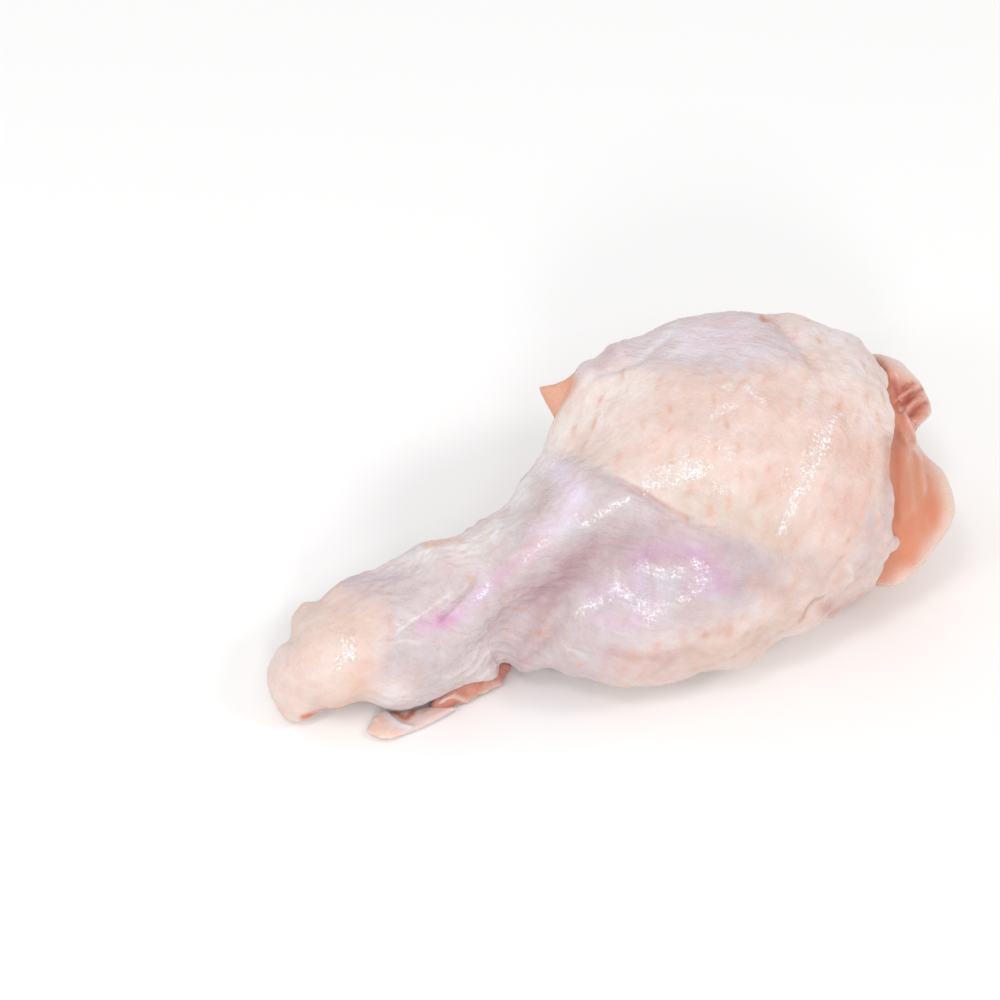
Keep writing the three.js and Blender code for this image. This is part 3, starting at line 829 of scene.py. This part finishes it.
# %% Paint the skin
PEACH, GREY = colour_of(237, 214, 204), colour_of(214, 197, 197)
colours = np.outer(thick, PEACH) + np.outer(1 - thick, GREY)
colours = paint(colours, 0.8 * bare_top, colour_of(229, 213, 216))
cloud = grain(moved, 6.0, 61.0)
thin_back = 0.8 * far_side * (1 - thick)
colours = paint(colours, thin_back * step(cloud, -0.1, 0.7), colour_of(224, 200, 213))
colours = paint(colours, thin_back * step(-cloud, 0.0, 0.7), colour_of(208, 184, 186))
warm = step(grain(moved, 7.0, 66.0), -0.1, 0.6)
colours = paint(colours, 0.5 * far_side * thick * warm, colour_of(234, 200, 186))
uneven = 1 + 0.5 * grain(moved, 1.6, 81.0) + 0.3 * grain(moved, 4.0, 84.0)
for tone, strong, width, corners in PAINT:
    stroke = strong * uneven * brush(seen, corners, width) * near_side
    colours = paint(colours, stroke, colour_of(*tone))
# painted shade: orange on the shaded fold behind the shank and at the tab's root, as thin skin
# looks with light coming through it
back_fold = step(y, 10.5, 12.5) * step(14 - z, -3, 3) * step(-20 - x, 0, 3) * step(x, -36, -32)
near_root = step(6.0 + 1.4 * blur - near_tab(skin_points), 0, 4) * step(y + 0.8 * blur, 14.5, 18.5)
painted_shade_amber = np.maximum(0.25 * back_fold, near_root)
colours = paint(colours, painted_shade_amber, colour_of(238, 176, 146) * 0.96)
faces_meat = step(-0.1 - (skin_outs * away_from_core(skin_points)).sum(1), -0.2, 0.2)
lining = step(x, 27.5, 32) * (z < 34) * faces_meat
colours = paint(colours, 0.6 * lining, colour_of(220, 186, 176))
colours = paint(colours, 0.38 * fine_line, colour_of(243, 232, 230))
keep_colours(skin, colours * (0.892, 0.938, 0.968))
remember(skin, "thick", thick)
remember(skin, "follicle", follicle_mark)
remember(skin, "wet", wet)
print("painted points:", len(colours))

# %% [markdown]
# ## Materials
# Raw skin is pale, and its colour comes from many thin layers. So a material reads the
# painted colour of a piece, and then makes it lighter, redder or deeper by soft masks that
# are finer than the mesh. The helpers below each add one kind of node and link it.

# %% Add and link nodes
def new_material(name):
    """A material with its node tree and its Principled shader."""
    material = bpy.data.materials.new(name)
    material.use_nodes = True
    nodes = material.node_tree.nodes
    shader = nodes["Principled BSDF"]
    return material, material.node_tree, shader


def node(tree, kind, **settings):
    """Adds a node of a kind."""
    made = tree.nodes.new(kind)
    for name, value in settings.items():
        setattr(made, name, value)
    return made


def feed(tree, socket, value):
    """Links another socket to an input, or sets the input to a plain value."""
    if isinstance(value, bpy.types.NodeSocket):
        tree.links.new(value, socket)
    else:
        socket.default_value = value


def mix_colours(tree, amount, first, second, mode="MIX"):
    """A Mix node. amount, first and second are each a socket or a plain value."""
    made = node(tree, "ShaderNodeMix", data_type="RGBA", blend_type=mode)
    for name, value in (("Factor_Float", amount), ("A_Color", first), ("B_Color", second)):
        socket = next(s for s in made.inputs if s.identifier == name)
        feed(tree, socket, (*value, 1) if isinstance(value, tuple) else value)
    return next(s for s in made.outputs if s.identifier == "Result_Color")


def maths(tree, operation, first, second=0.0, clamp=False):
    """A Math node. first and second are each a socket or a plain number."""
    made = node(tree, "ShaderNodeMath", operation=operation, use_clamp=clamp)
    for socket, value in zip(made.inputs, (first, second)):
        feed(tree, socket, value)
    return made.outputs[0]


print("materials so far:", len(bpy.data.materials))


# %% Masks and noise
def spread_out(tree, value, low, high, to_low=0.0, to_high=1.0):
    """Maps a value smoothly from low..high to another range."""
    made = node(tree, "ShaderNodeMapRange", interpolation_type="SMOOTHSTEP")
    tree.links.new(value, made.inputs["Value"])
    limits = {"From Min": low, "From Max": high, "To Min": to_low, "To Max": to_high}
    for name, number in limits.items():
        made.inputs[name].default_value = number
    return made.outputs["Result"]


def patch(tree, name):
    """The number that was remembered at the points of the piece under this name."""
    return node(tree, "ShaderNodeAttribute", attribute_name=name).outputs["Fac"]


def noise_in(tree, place, scale, detail=3.0, roughness=0.55):
    """Noise at a place, with its scale as a socket or a plain number."""
    made = node(tree, "ShaderNodeTexNoise")
    tree.links.new(place, made.inputs["Vector"])
    made.inputs["Detail"].default_value = detail
    made.inputs["Roughness"].default_value = roughness
    feed(tree, made.inputs["Scale"], scale)
    return made.outputs["Fac"]


kept = {"paint", "thick", "follicle", "wet"} & {layer.name for layer in skin.data.attributes}
print("kept on the skin:", sorted(kept))


# %% Start a shared group
NUMBER = "NodeSocketFloat"


def new_group(name, inputs, outputs):
    """An empty node group with named inputs and outputs."""
    group = bpy.data.node_groups.new(name, "ShaderNodeTree")
    for label, kind, value in inputs:
        socket = group.interface.new_socket(name=label, in_out="INPUT", socket_type=kind)
        socket.default_value = value
    for label, kind in outputs:
        group.interface.new_socket(name=label, in_out="OUTPUT", socket_type=kind)
    return group, node(group, "NodeGroupInput"), node(group, "NodeGroupOutput")


def use_group(tree, group, **values):
    """Places a group in a material. An underscore in a value's name stands for a space."""
    made = node(tree, "ShaderNodeGroup", node_tree=group)
    for name, value in values.items():
        feed(tree, made.inputs[name.replace("_", " ")], value)
    return made.outputs


print("groups so far:", len(bpy.data.node_groups))

# %% [markdown]
# ### Moist grain
# All four pieces share two effects, so each is a node group that is built once. The first is
# moist grain. Dry skin is dull and finely grained. Where a film of water lies on it, the
# grain drowns and the surface is glossy, with ripples that catch the light. Wetness says how
# much film there is, and noise breaks its edge into pools. The group also gives painted
# glints: a mask on the crests of the ripples where the film is soaked, which the skin's
# material turns near-white, as painted highlights and a faint painted sheen.

# %% Build the moist grain
moist, entry, leave = new_group(
    "moist grain and painted glints",
    [("Grain Size", NUMBER, 900.0), ("Dry Roughness", NUMBER, 0.45),
     ("Wet Roughness", NUMBER, 0.2), ("Wetness", NUMBER, 0.0)],
    [("Height", NUMBER), ("Roughness", NUMBER), ("Painted Glints", NUMBER)],
)
place = node(moist, "ShaderNodeTexCoord").outputs["Object"]
coarse = noise_in(moist, place, entry.outputs["Grain Size"], 4.0, 0.6)
pores = node(moist, "ShaderNodeTexVoronoi", feature="SMOOTH_F1")
moist.links.new(place, pores.inputs["Vector"])
moist.links.new(maths(moist, "MULTIPLY", entry.outputs["Grain Size"], 1.6), pores.inputs["Scale"])
rough_grain = maths(moist, "MULTIPLY", coarse, 0.5)
dry = maths(moist, "ADD", rough_grain, maths(moist, "MULTIPLY", pores.outputs["Distance"], 0.22))

size, wetness = entry.outputs["Grain Size"], entry.outputs["Wetness"]
ripple = noise_in(moist, place, maths(moist, "MULTIPLY", size, 1.15), 1.5, 0.5)
ripple.node.inputs["Distortion"].default_value = 0.7
pool = noise_in(moist, place, maths(moist, "MULTIPLY", size, 0.55), 1.0, 0.5)
pooled = maths(moist, "MULTIPLY", maths(moist, "SUBTRACT", pool, 0.5), 1.6)
film = spread_out(moist, maths(moist, "ADD", wetness, pooled), 0.22, 0.5)
rippled = maths(moist, "ADD", maths(moist, "MULTIPLY", ripple, 0.7), -0.03)
height = node(moist, "ShaderNodeMix", data_type="FLOAT")
for number, value in ((0, film), (2, dry), (3, rippled)):  # the factor, and what it mixes
    moist.links.new(value, height.inputs[number])
moist.links.new(height.outputs[0], leave.inputs["Height"])
print("nodes in the grain so far:", len(moist.nodes))

# %% Add the painted glints and the gloss of the film
# painted glints: the crests of fine ripples where the film is soaked, plus a faint painted sheen
fine_ripple = noise_in(moist, place, maths(moist, "MULTIPLY", size, 1.9), 2.5, 0.6)
fine_ripple.node.inputs["Distortion"].default_value = 1.0
soaked = maths(moist, "MULTIPLY", spread_out(moist, wetness, 0.15, 0.9), film)
clumps = spread_out(moist, ripple, 0.40, 0.56, 0.25, 1.0)
painted_glints = maths(moist, "MULTIPLY", spread_out(moist, fine_ripple, 0.47, 0.60), clumps)
painted_glints = maths(moist, "ADD", maths(moist, "MULTIPLY", painted_glints, 0.95), 0.06)
moist.links.new(maths(moist, "MULTIPLY", painted_glints, soaked), leave.inputs["Painted Glints"])

damp = maths(moist, "SUBTRACT", 1.0, maths(moist, "MULTIPLY", wetness, 0.45))
dry_gloss = maths(moist, "MULTIPLY", entry.outputs["Dry Roughness"], damp)
dry_gloss = maths(moist, "MULTIPLY", dry_gloss, maths(moist, "SUBTRACT", 1.0, film))
wet_gloss = maths(moist, "MULTIPLY", entry.outputs["Wet Roughness"], film)
moist.links.new(maths(moist, "ADD", dry_gloss, wet_gloss), leave.inputs["Roughness"])
print("the grain's outputs:", [o.name for o in leave.inputs if o.name])


# %% Put paint, grain and soft light on a material
def painted_colour(tree):
    """The colour that was painted on the points of the piece."""
    return node(tree, "ShaderNodeAttribute", attribute_name="paint").outputs["Color"]


def tinted(tree, colour, tint):
    """The colour times a tint, which makes it lighter, redder or deeper."""
    return mix_colours(tree, 1.0, colour, tint, "MULTIPLY")


def raise_grain(tree, shader, grain_out, height, strength, depth):
    """The grain's roughness, and a height of up to depth metres as a bump."""
    tree.links.new(grain_out["Roughness"], shader.inputs["Roughness"])
    bump = node(tree, "ShaderNodeBump")
    bump.inputs["Strength"].default_value = strength
    bump.inputs["Distance"].default_value = depth
    tree.links.new(height, bump.inputs["Height"])
    tree.links.new(bump.outputs["Normal"], shader.inputs["Normal"])


def soften_light(shader, amount, reach, spread=None):
    """Lets light into the surface. reach is in metres, and red, green and blue spread apart."""
    shader.inputs["Subsurface Weight"].default_value = amount
    shader.inputs["Subsurface Scale"].default_value = reach
    if spread:
        shader.inputs["Subsurface Radius"].default_value = spread


print("groups so far:", [g.name for g in bpy.data.node_groups])

# %% [markdown]
# ### Mottling
# The second shared effect is mottling: soft cloudy patches, and small specks between them.
# Both are masks, and each material decides what it mixes by them.

# %% Build the mottling
mottle, entry, leave = new_group(
    "mottling",
    [("Patch Size", NUMBER, 150.0), ("Contrast", NUMBER, 1.0)],
    [("Patches", NUMBER), ("Specks", NUMBER)],
)
place = node(mottle, "ShaderNodeTexCoord").outputs["Object"]
cloud = noise_in(mottle, place, entry.outputs["Patch Size"], 5.0, 0.6)
centred = maths(mottle, "SUBTRACT", cloud, 0.5)
centred = maths(mottle, "MULTIPLY", centred, entry.outputs["Contrast"])
centred = maths(mottle, "MULTIPLY", centred, 2.2)
mottle.links.new(maths(mottle, "ADD", centred, 0.5, clamp=True), leave.inputs["Patches"])
fleck_size = maths(mottle, "MULTIPLY", entry.outputs["Patch Size"], 5.0)
fleck = noise_in(mottle, place, fleck_size, 2.0, 0.5)
mottle.links.new(spread_out(mottle, fleck, 0.58, 0.72), leave.inputs["Specks"])
print("groups:", [g.name for g in bpy.data.node_groups])

# %% [markdown]
# ### Skin
# Peach where it is thick, grey and faintly lilac where it is thin. The borders are broken up
# by noise, so that they don't look painted. A little light goes into skin and comes out
# again beside where it went in, redder than before: that is subsurface scattering, and it
# keeps the shade soft.

# %% Build the skin material
skin_material, tree, shader = new_material("raw skin")
painted = painted_colour(tree)
clouds = use_group(tree, mottle, Patch_Size=190.0, Contrast=1.2)
small = use_group(tree, mottle, Patch_Size=650.0, Contrast=1.4)

lighter = tinted(tree, painted, (1.04, 1.075, 1.09))
redder = tinted(tree, painted, (0.985, 0.90, 0.87))
colour = mix_colours(tree, clouds["Patches"], redder, lighter)
deeper = tinted(tree, colour, (0.955, 0.89, 0.875))
colour = mix_colours(tree, maths(tree, "MULTIPLY", small["Patches"], 0.75), colour, deeper)
pale = tinted(tree, colour, (1.05, 1.10, 1.12))
colour = mix_colours(tree, maths(tree, "MULTIPLY", small["Specks"], 0.6), colour, pale)
fresher = spread_out(tree, small["Patches"], 0.1, 0.9, 0.5, 1.0)
follicle_red = maths(tree, "MULTIPLY", patch(tree, "follicle"), fresher)
colour = mix_colours(tree, follicle_red, colour, (0.71, 0.38, 0.27))
grain_out = use_group(
    tree, moist, Grain_Size=1000.0, Dry_Roughness=0.46, Wet_Roughness=0.09,
    Wetness=patch(tree, "wet"),
)
# painted highlights: near-white is mixed into the colour on the painted glints
painted_glints = maths(tree, "MULTIPLY", grain_out["Painted Glints"], 0.7)
colour = mix_colours(tree, painted_glints, colour, (0.96, 0.97, 1.0))
tree.links.new(colour, shader.inputs["Base Color"])
drawn_out = node(tree, "ShaderNodeMapping", vector_type="TEXTURE")
tree.links.new(node(tree, "ShaderNodeTexCoord").outputs["Object"], drawn_out.inputs["Vector"])
drawn_out.inputs["Rotation"].default_value = (0, 0, math.radians(-50))
drawn_out.inputs["Scale"].default_value = (6, 1, 1)
thinness = maths(tree, "SUBTRACT", 1.3, patch(tree, "thick"))
fine_creases = noise_in(tree, drawn_out.outputs["Vector"], 1300.0, 3.0, 0.6)
creases = maths(tree, "MULTIPLY", fine_creases, thinness)
height = maths(tree, "ADD", grain_out["Height"], maths(tree, "MULTIPLY", creases, 0.7))
raise_grain(tree, shader, grain_out, height, 0.8, 0.0004)
soften_light(shader, 0.15, 0.0022, (1.0, 0.4, 0.25))
shader.inputs["Specular IOR Level"].default_value = 0.65
skin.data.materials.append(skin_material)
print("skin material nodes:", len(tree.nodes))

# %% [markdown]
# ## The meat
# At the shoulder end the meat bulges out of the skin: a smooth orange teardrop below, a
# smaller muscle above, and a torn hollow between them with pale strands across it. The part
# inside the sleeve never shows, so only the end is divided. Muscle is made of fibres, and
# here they fan out from the hollow, so the grain is noise over the direction from there.

# %% Copy the meat and divide its end
meat = copy_of_node("meat", "shoulder_meat")
middles, outs = face_middles(meat)
divide_faces(meat, middles[:, 0] > 26, 5)
meat_points = points_of(meat)
relax(meat, np.where(meat_points[:, 0] > 27, 0.5, 0.1), 22)
MEAT_PUSHES = [
    ((926, 412), 16, 9, 3), ((905, 356), 12, 3, -2), ((937, 454), 20, -7, 3),
    ((950, 512), 26, 5, 2), ((906, 405), 16, 3, 0), ((900, 590), 16, 0, 3),
]
meat_points = nudge(points_of(meat), MEAT_PUSHES)
place_points(meat, meat_points)
meat_outs = normals_of(meat)
print("meat triangles:", sum(len(f.vertices) - 2 for f in meat.data.polygons))

# %% Shape the fibres, the hollow and the strands
HOLLOW = np.array((46.4, -4.5, 30.5))
meat_seen = seen_at(meat_points)
meat_near = faces_us(meat_outs)
MEAT_STRANDS = [
    [(899, 398), (907, 392), (918, 384)], [(905, 412), (915, 401), (925, 396)],
    [(911, 424), (920, 417), (929, 412)], [(901, 407), (908, 424), (913, 437), (916, 454)],
    [(912, 446), (918, 462), (922, 478), (925, 494)], [(897, 430), (904, 446), (908, 462)],
]
SLOTS = [
    [(902, 390), (912, 384)], [(903, 404), (912, 396), (922, 389)],
    [(908, 418), (918, 408), (926, 403)], [(896, 402), (903, 414)],
]


def on_meat(corners, width, ends=0.25):
    """A stroke on the near side of the meat."""
    return brush(meat_seen, corners, width, ends) * meat_near


mx, my, mz = meat_points.T
fan = meat_points - HOLLOW
spin, far = np.arctan2(fan[:, 2], fan[:, 1]), np.linalg.norm(fan, axis=1)
shows = step(mx, 28, 33)
fibre = grain(np.stack([spin * 5, far / 12, mx / 14], 1), 1.0, 3.0)
fine_fibre = grain(np.stack([spin * 15, far / 8, mx / 9], 1), 1.0, 8.0)
meat_height = 0.12 * fibre + 0.03 * fine_fibre * step(far, 2, 6)
meat_height += 0.25 * grain(meat_points, 6.0, 14.0)
strand, slot = np.zeros(len(meat_points)), np.zeros(len(meat_points))
for path in MEAT_STRANDS:
    strand = np.maximum(strand, on_meat(path, 2.2))
for path in SLOTS:
    slot = np.maximum(slot, on_meat(path, 3.4))
torn = on_meat([(904, 388), (910, 404), (916, 418)], 13)
meat_height += 0.45 * strand - 0.6 * slot + 0.3 * torn * grain(meat_points, 1.3, 20.0)
behind = step(-(meat_outs @ np.array(VIEW_BACK)), -0.1, 0.3)
meat_height += 0.2 * behind * grain(meat_points, 2.6, 24.0)
meat_moved = meat_points + meat_outs * (meat_height * shows)[:, None]
meat_moved[:, 2] = np.maximum(meat_moved[:, 2], 0)
place_points(meat, meat_moved)
print("meat box, mm:", np.round(meat_moved.min(0), 1), np.round(meat_moved.max(0), 1))

# %% Paint the meat
MEAT_PAINT = [
    ((240, 206, 188), 0.95, 10, [(930, 448), (939, 464), (946, 482), (950, 505), (947, 525),
     (932, 549), (912, 572), (890, 590), (878, 597)]),
    # the next four strokes are deeper orange: painted shade near the lip and at the lower end, over
    # the meat's own orange
    ((226, 134, 96), 0.6, 10, [(912, 558), (905, 540)]),
    ((224, 138, 104), 0.5, 6, [(934, 500), (935, 525)]),
    ((212, 146, 118), 0.5, 9, [(908, 440), (912, 470), (916, 500)]),
    ((202, 118, 92), 0.7, 4, [(896, 430), (897, 470), (897, 520)]),
    ((238, 216, 210), 1.0, 13, [(868, 350), (885, 352), (900, 360), (908, 370)]),
    ((244, 208, 190), 0.85, 6, [(908, 370), (918, 388), (927, 408), (926, 424)]),
    ((214, 136, 118), 0.85, 8, [(900, 388), (908, 402), (914, 420)]),
    ((214, 140, 120), 0.6, 8, [(922, 402), (924, 418), (918, 432)]),
    ((172, 78, 62), 0.65, 2.6, [(902, 390), (912, 384)]),
    ((166, 70, 54), 0.7, 2.8, [(903, 404), (912, 396), (922, 389)]),
    ((164, 70, 56), 0.7, 2.8, [(908, 418), (918, 408), (926, 403)]),
    ((180, 90, 66), 0.8, 3, [(893, 382), (897, 394), (903, 412)]),
    ((236, 202, 194), 0.8, 1.8, [(901, 407), (908, 424), (913, 437), (916, 454)]),
    ((230, 184, 166), 0.6, 1.8, [(912, 446), (918, 462), (922, 478), (925, 494)]),
    ((232, 186, 172), 0.8, 1.6, [(899, 398), (907, 392), (918, 384)]),
    ((232, 184, 168), 0.8, 1.6, [(905, 412), (915, 401), (925, 396)]),
    ((232, 184, 168), 0.7, 1.6, [(911, 424), (920, 417), (929, 412)]),
    ((228, 178, 158), 0.4, 2, [(904, 450), (911, 480), (914, 510)]),
]
meat_colours = np.tile(colour_of(220, 148, 119), (len(meat_moved), 1))
for tone, strong, width, corners in MEAT_PAINT:
    stroke = strong * brush(meat_seen, corners, width) * meat_near
    meat_colours = paint(meat_colours, stroke, colour_of(*tone))
upper = behind * step(mz, 24, 31) + (1 - meat_near) * 0.5 * step(my, 0, 8)
meat_colours = paint(meat_colours, np.clip(behind * 0.75 + upper, 0, 0.9), colour_of(230, 190, 170))
meat_colours = paint(meat_colours, behind * step(fibre, 0.1, 0.4) * 0.6, colour_of(214, 140, 116))
keep_colours(meat, meat_colours * (0.92, 0.90, 0.88))
remember(meat, "fibre", 0.5 + 0.5 * fine_fibre)
print("strands:", len(MEAT_STRANDS))

# %% Build the meat material
meat_material, tree, shader = new_material("raw meat")
painted = painted_colour(tree)
clouds = use_group(tree, mottle, Patch_Size=160.0, Contrast=1.0)
small = use_group(tree, mottle, Patch_Size=520.0, Contrast=1.0)
lighter = tinted(tree, painted, (1.03, 1.10, 1.14))
redder = tinted(tree, painted, (0.97, 0.88, 0.85))
colour = mix_colours(tree, clouds["Patches"], redder, lighter)
deeper = tinted(tree, colour, (0.95, 0.86, 0.84))
colour = mix_colours(tree, maths(tree, "MULTIPLY", small["Patches"], 0.5), colour, deeper)
pale = tinted(tree, colour, (1.04, 1.2, 1.28))
colour = mix_colours(tree, maths(tree, "MULTIPLY", patch(tree, "fibre"), 0.35), colour, pale)
tree.links.new(colour, shader.inputs["Base Color"])
grain_out = use_group(
    tree, moist, Grain_Size=700.0, Dry_Roughness=0.42, Wet_Roughness=0.22, Wetness=0.4,
)
raise_grain(tree, shader, grain_out, grain_out["Height"], 0.35, 0.0003)
soften_light(shader, 0.15, 0.0025, (1.0, 0.35, 0.2))
meat.data.materials.append(meat_material)
print("meat material nodes:", len(tree.nodes))

# %% [markdown]
# ## Under the elbow
# Below the shank's lower edge, dark red meat shows from a cut, and a pale strip of tissue
# runs from it along the table to a wide torn tip. Both are small, but they are what makes
# the cut look like a cut, so each gets its own lumps, fibres and colours.

# %% Shape the dark meat
# a step along the table that looks like one millimetre up in the picture
ALONG_TABLE = np.array((0.6310, 1.2385, 0.0))

elbow_meat = copy_of_node("elbow_meat", "elbow_dark_meat")
divide_faces(elbow_meat, np.ones(len(elbow_meat.data.polygons), bool), 4)
relax(elbow_meat, np.full(len(elbow_meat.data.vertices), 0.4), 6)
p = nudge(points_of(elbow_meat), [((455, 722), 26, 2, -8)])
right = (seen_at(p)[:, 0] - 428)[:, None] / MM_SEEN
p = p + VIEW_RIGHT * (0.8 + 0.32 * right) + ALONG_TABLE * (1.0 + 0.30 * right)
place_points(elbow_meat, p)
n = normals_of(elbow_meat)
elbow_seen = seen_at(p)
lumps = 0.3 * grain(p, 1.9, 5.0) + 0.14 * grain(p, 0.8, 9.0)
long_line = [(440, 702), (452, 696), (468, 700), (480, 694), (500, 682)]
short_line = [(452, 712), (462, 704), (470, 706)]
dark_line = np.maximum(brush(elbow_seen, long_line, 2.2), brush(elbow_seen, short_line, 1.8))
p = p + n * ((lumps + 0.35 * dark_line) * step(p[:, 2], 0.05, 0.5))[:, None]
p[:, 2] = np.maximum(p[:, 2], 0)
place_points(elbow_meat, p)
remember(elbow_meat, "strand", dark_line)
print("dark meat box, mm:", np.round(p.min(0), 1), np.round(p.max(0), 1))

# %% Shape the tissue strip
strip = copy_of_node("tissue_strip", "elbow_tissue_strip")
divide_faces(strip, np.ones(len(strip.data.polygons), bool), 4)
relax(strip, np.full(len(strip.data.vertices), 0.3), 4)
right = np.maximum(seen_at(points_of(strip))[:, 0] - 380, -8)[:, None] / MM_SEEN
p = points_of(strip) + VIEW_RIGHT * 0.6 * right + ALONG_TABLE * 0.34 * right
p = nudge(p, [((372, 734), 9, -5, 0)])
place_points(strip, p)
n = normals_of(strip)
strip_seen = seen_at(p)
ragged = 0.3 * grain(p, 1.4, 2.0) * step(-37 - p[:, 0], 0, 3)
crease = brush(strip_seen, [(383, 708), (391, 717), (400, 724), (412, 727)], 2.0)
lumps = 0.10 * grain(p, 1.0, 7.0) + 0.05 * grain(p, 0.5, 9.0) + 0.3 * crease
p = p + n * lumps[:, None] + np.outer(ragged, (-1, -0.3, 0.2))
p[:, 2] = np.maximum(p[:, 2], 0)
place_points(strip, p)
print("strip points:", len(p))

# %% Paint the tissue strip
STRIP_PAINT = [
    ((236, 204, 190), 0.9, 9, [(374, 731), (384, 735), (396, 736)]),
    ((230, 176, 158), 0.5, 5, [(384, 722)]),
    ((214, 212, 216), 0.9, 3.5, [(384, 709), (391, 718), (400, 725), (410, 728)]),
    ((212, 178, 170), 0.6, 5, [(424, 712), (440, 710)]),
    ((188, 110, 76), 0.9, 3.5, [(388, 706), (398, 714), (406, 718), (413, 711)]),
]
strip_colours = np.tile(colour_of(226, 206, 202), (len(p), 1))
for tone, strong, width, corners in STRIP_PAINT:
    stroke = strong * brush(strip_seen, corners, width)
    strip_colours = paint(strip_colours, stroke, colour_of(*tone))
keep_colours(strip, strip_colours)
print("strip box, mm:", np.round(p.min(0), 1), np.round(p.max(0), 1))

# %% Build the dark meat material
dark_material, tree, shader = new_material("dark meat")
clouds = use_group(tree, mottle, Patch_Size=380.0, Contrast=1.1)
colour = mix_colours(tree, clouds["Patches"], (0.46, 0.13, 0.085), (0.68, 0.33, 0.25))
strands = maths(tree, "MULTIPLY", patch(tree, "strand"), 0.8)
colour = mix_colours(tree, strands, colour, (0.78, 0.56, 0.49))
tree.links.new(colour, shader.inputs["Base Color"])
grain_out = use_group(
    tree, moist, Grain_Size=1100.0, Dry_Roughness=0.4, Wet_Roughness=0.18, Wetness=0.5,
)
raise_grain(tree, shader, grain_out, grain_out["Height"], 0.5, 0.0003)
soften_light(shader, 0.1, 0.0015)
elbow_meat.data.materials.append(dark_material)
print("dark meat material nodes:", len(tree.nodes))

# %% Build the tissue material
tissue_material, tree, shader = new_material("pale tissue")
painted = painted_colour(tree)
clouds = use_group(tree, mottle, Patch_Size=380.0, Contrast=1.2)
deeper = tinted(tree, painted, (0.93, 0.86, 0.84))
colour = mix_colours(tree, maths(tree, "MULTIPLY", clouds["Patches"], 0.7), painted, deeper)
tree.links.new(colour, shader.inputs["Base Color"])
grain_out = use_group(
    tree, moist, Grain_Size=1000.0, Dry_Roughness=0.42, Wet_Roughness=0.2, Wetness=0.35,
)
raise_grain(tree, shader, grain_out, grain_out["Height"], 0.4, 0.0002)
soften_light(shader, 0.15, 0.0015)
strip.data.materials.append(tissue_material)
print("materials:", [m.name for m in bpy.data.materials if m.users])

# %% [markdown]
# ## Put the pieces on the frame
# Each piece rides on the body of the CAD model and stands in for its own solid, which is hidden.

# %% Ride and replace
for piece, solid, slot in (
    (skin, "skin", "skin"),
    (meat, "meat", "meat"),
    (elbow_meat, "elbow_meat", "dark_meat"),
    (strip, "tissue_strip", "tissue"),
):
    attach(piece, "root")
    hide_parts(solid)
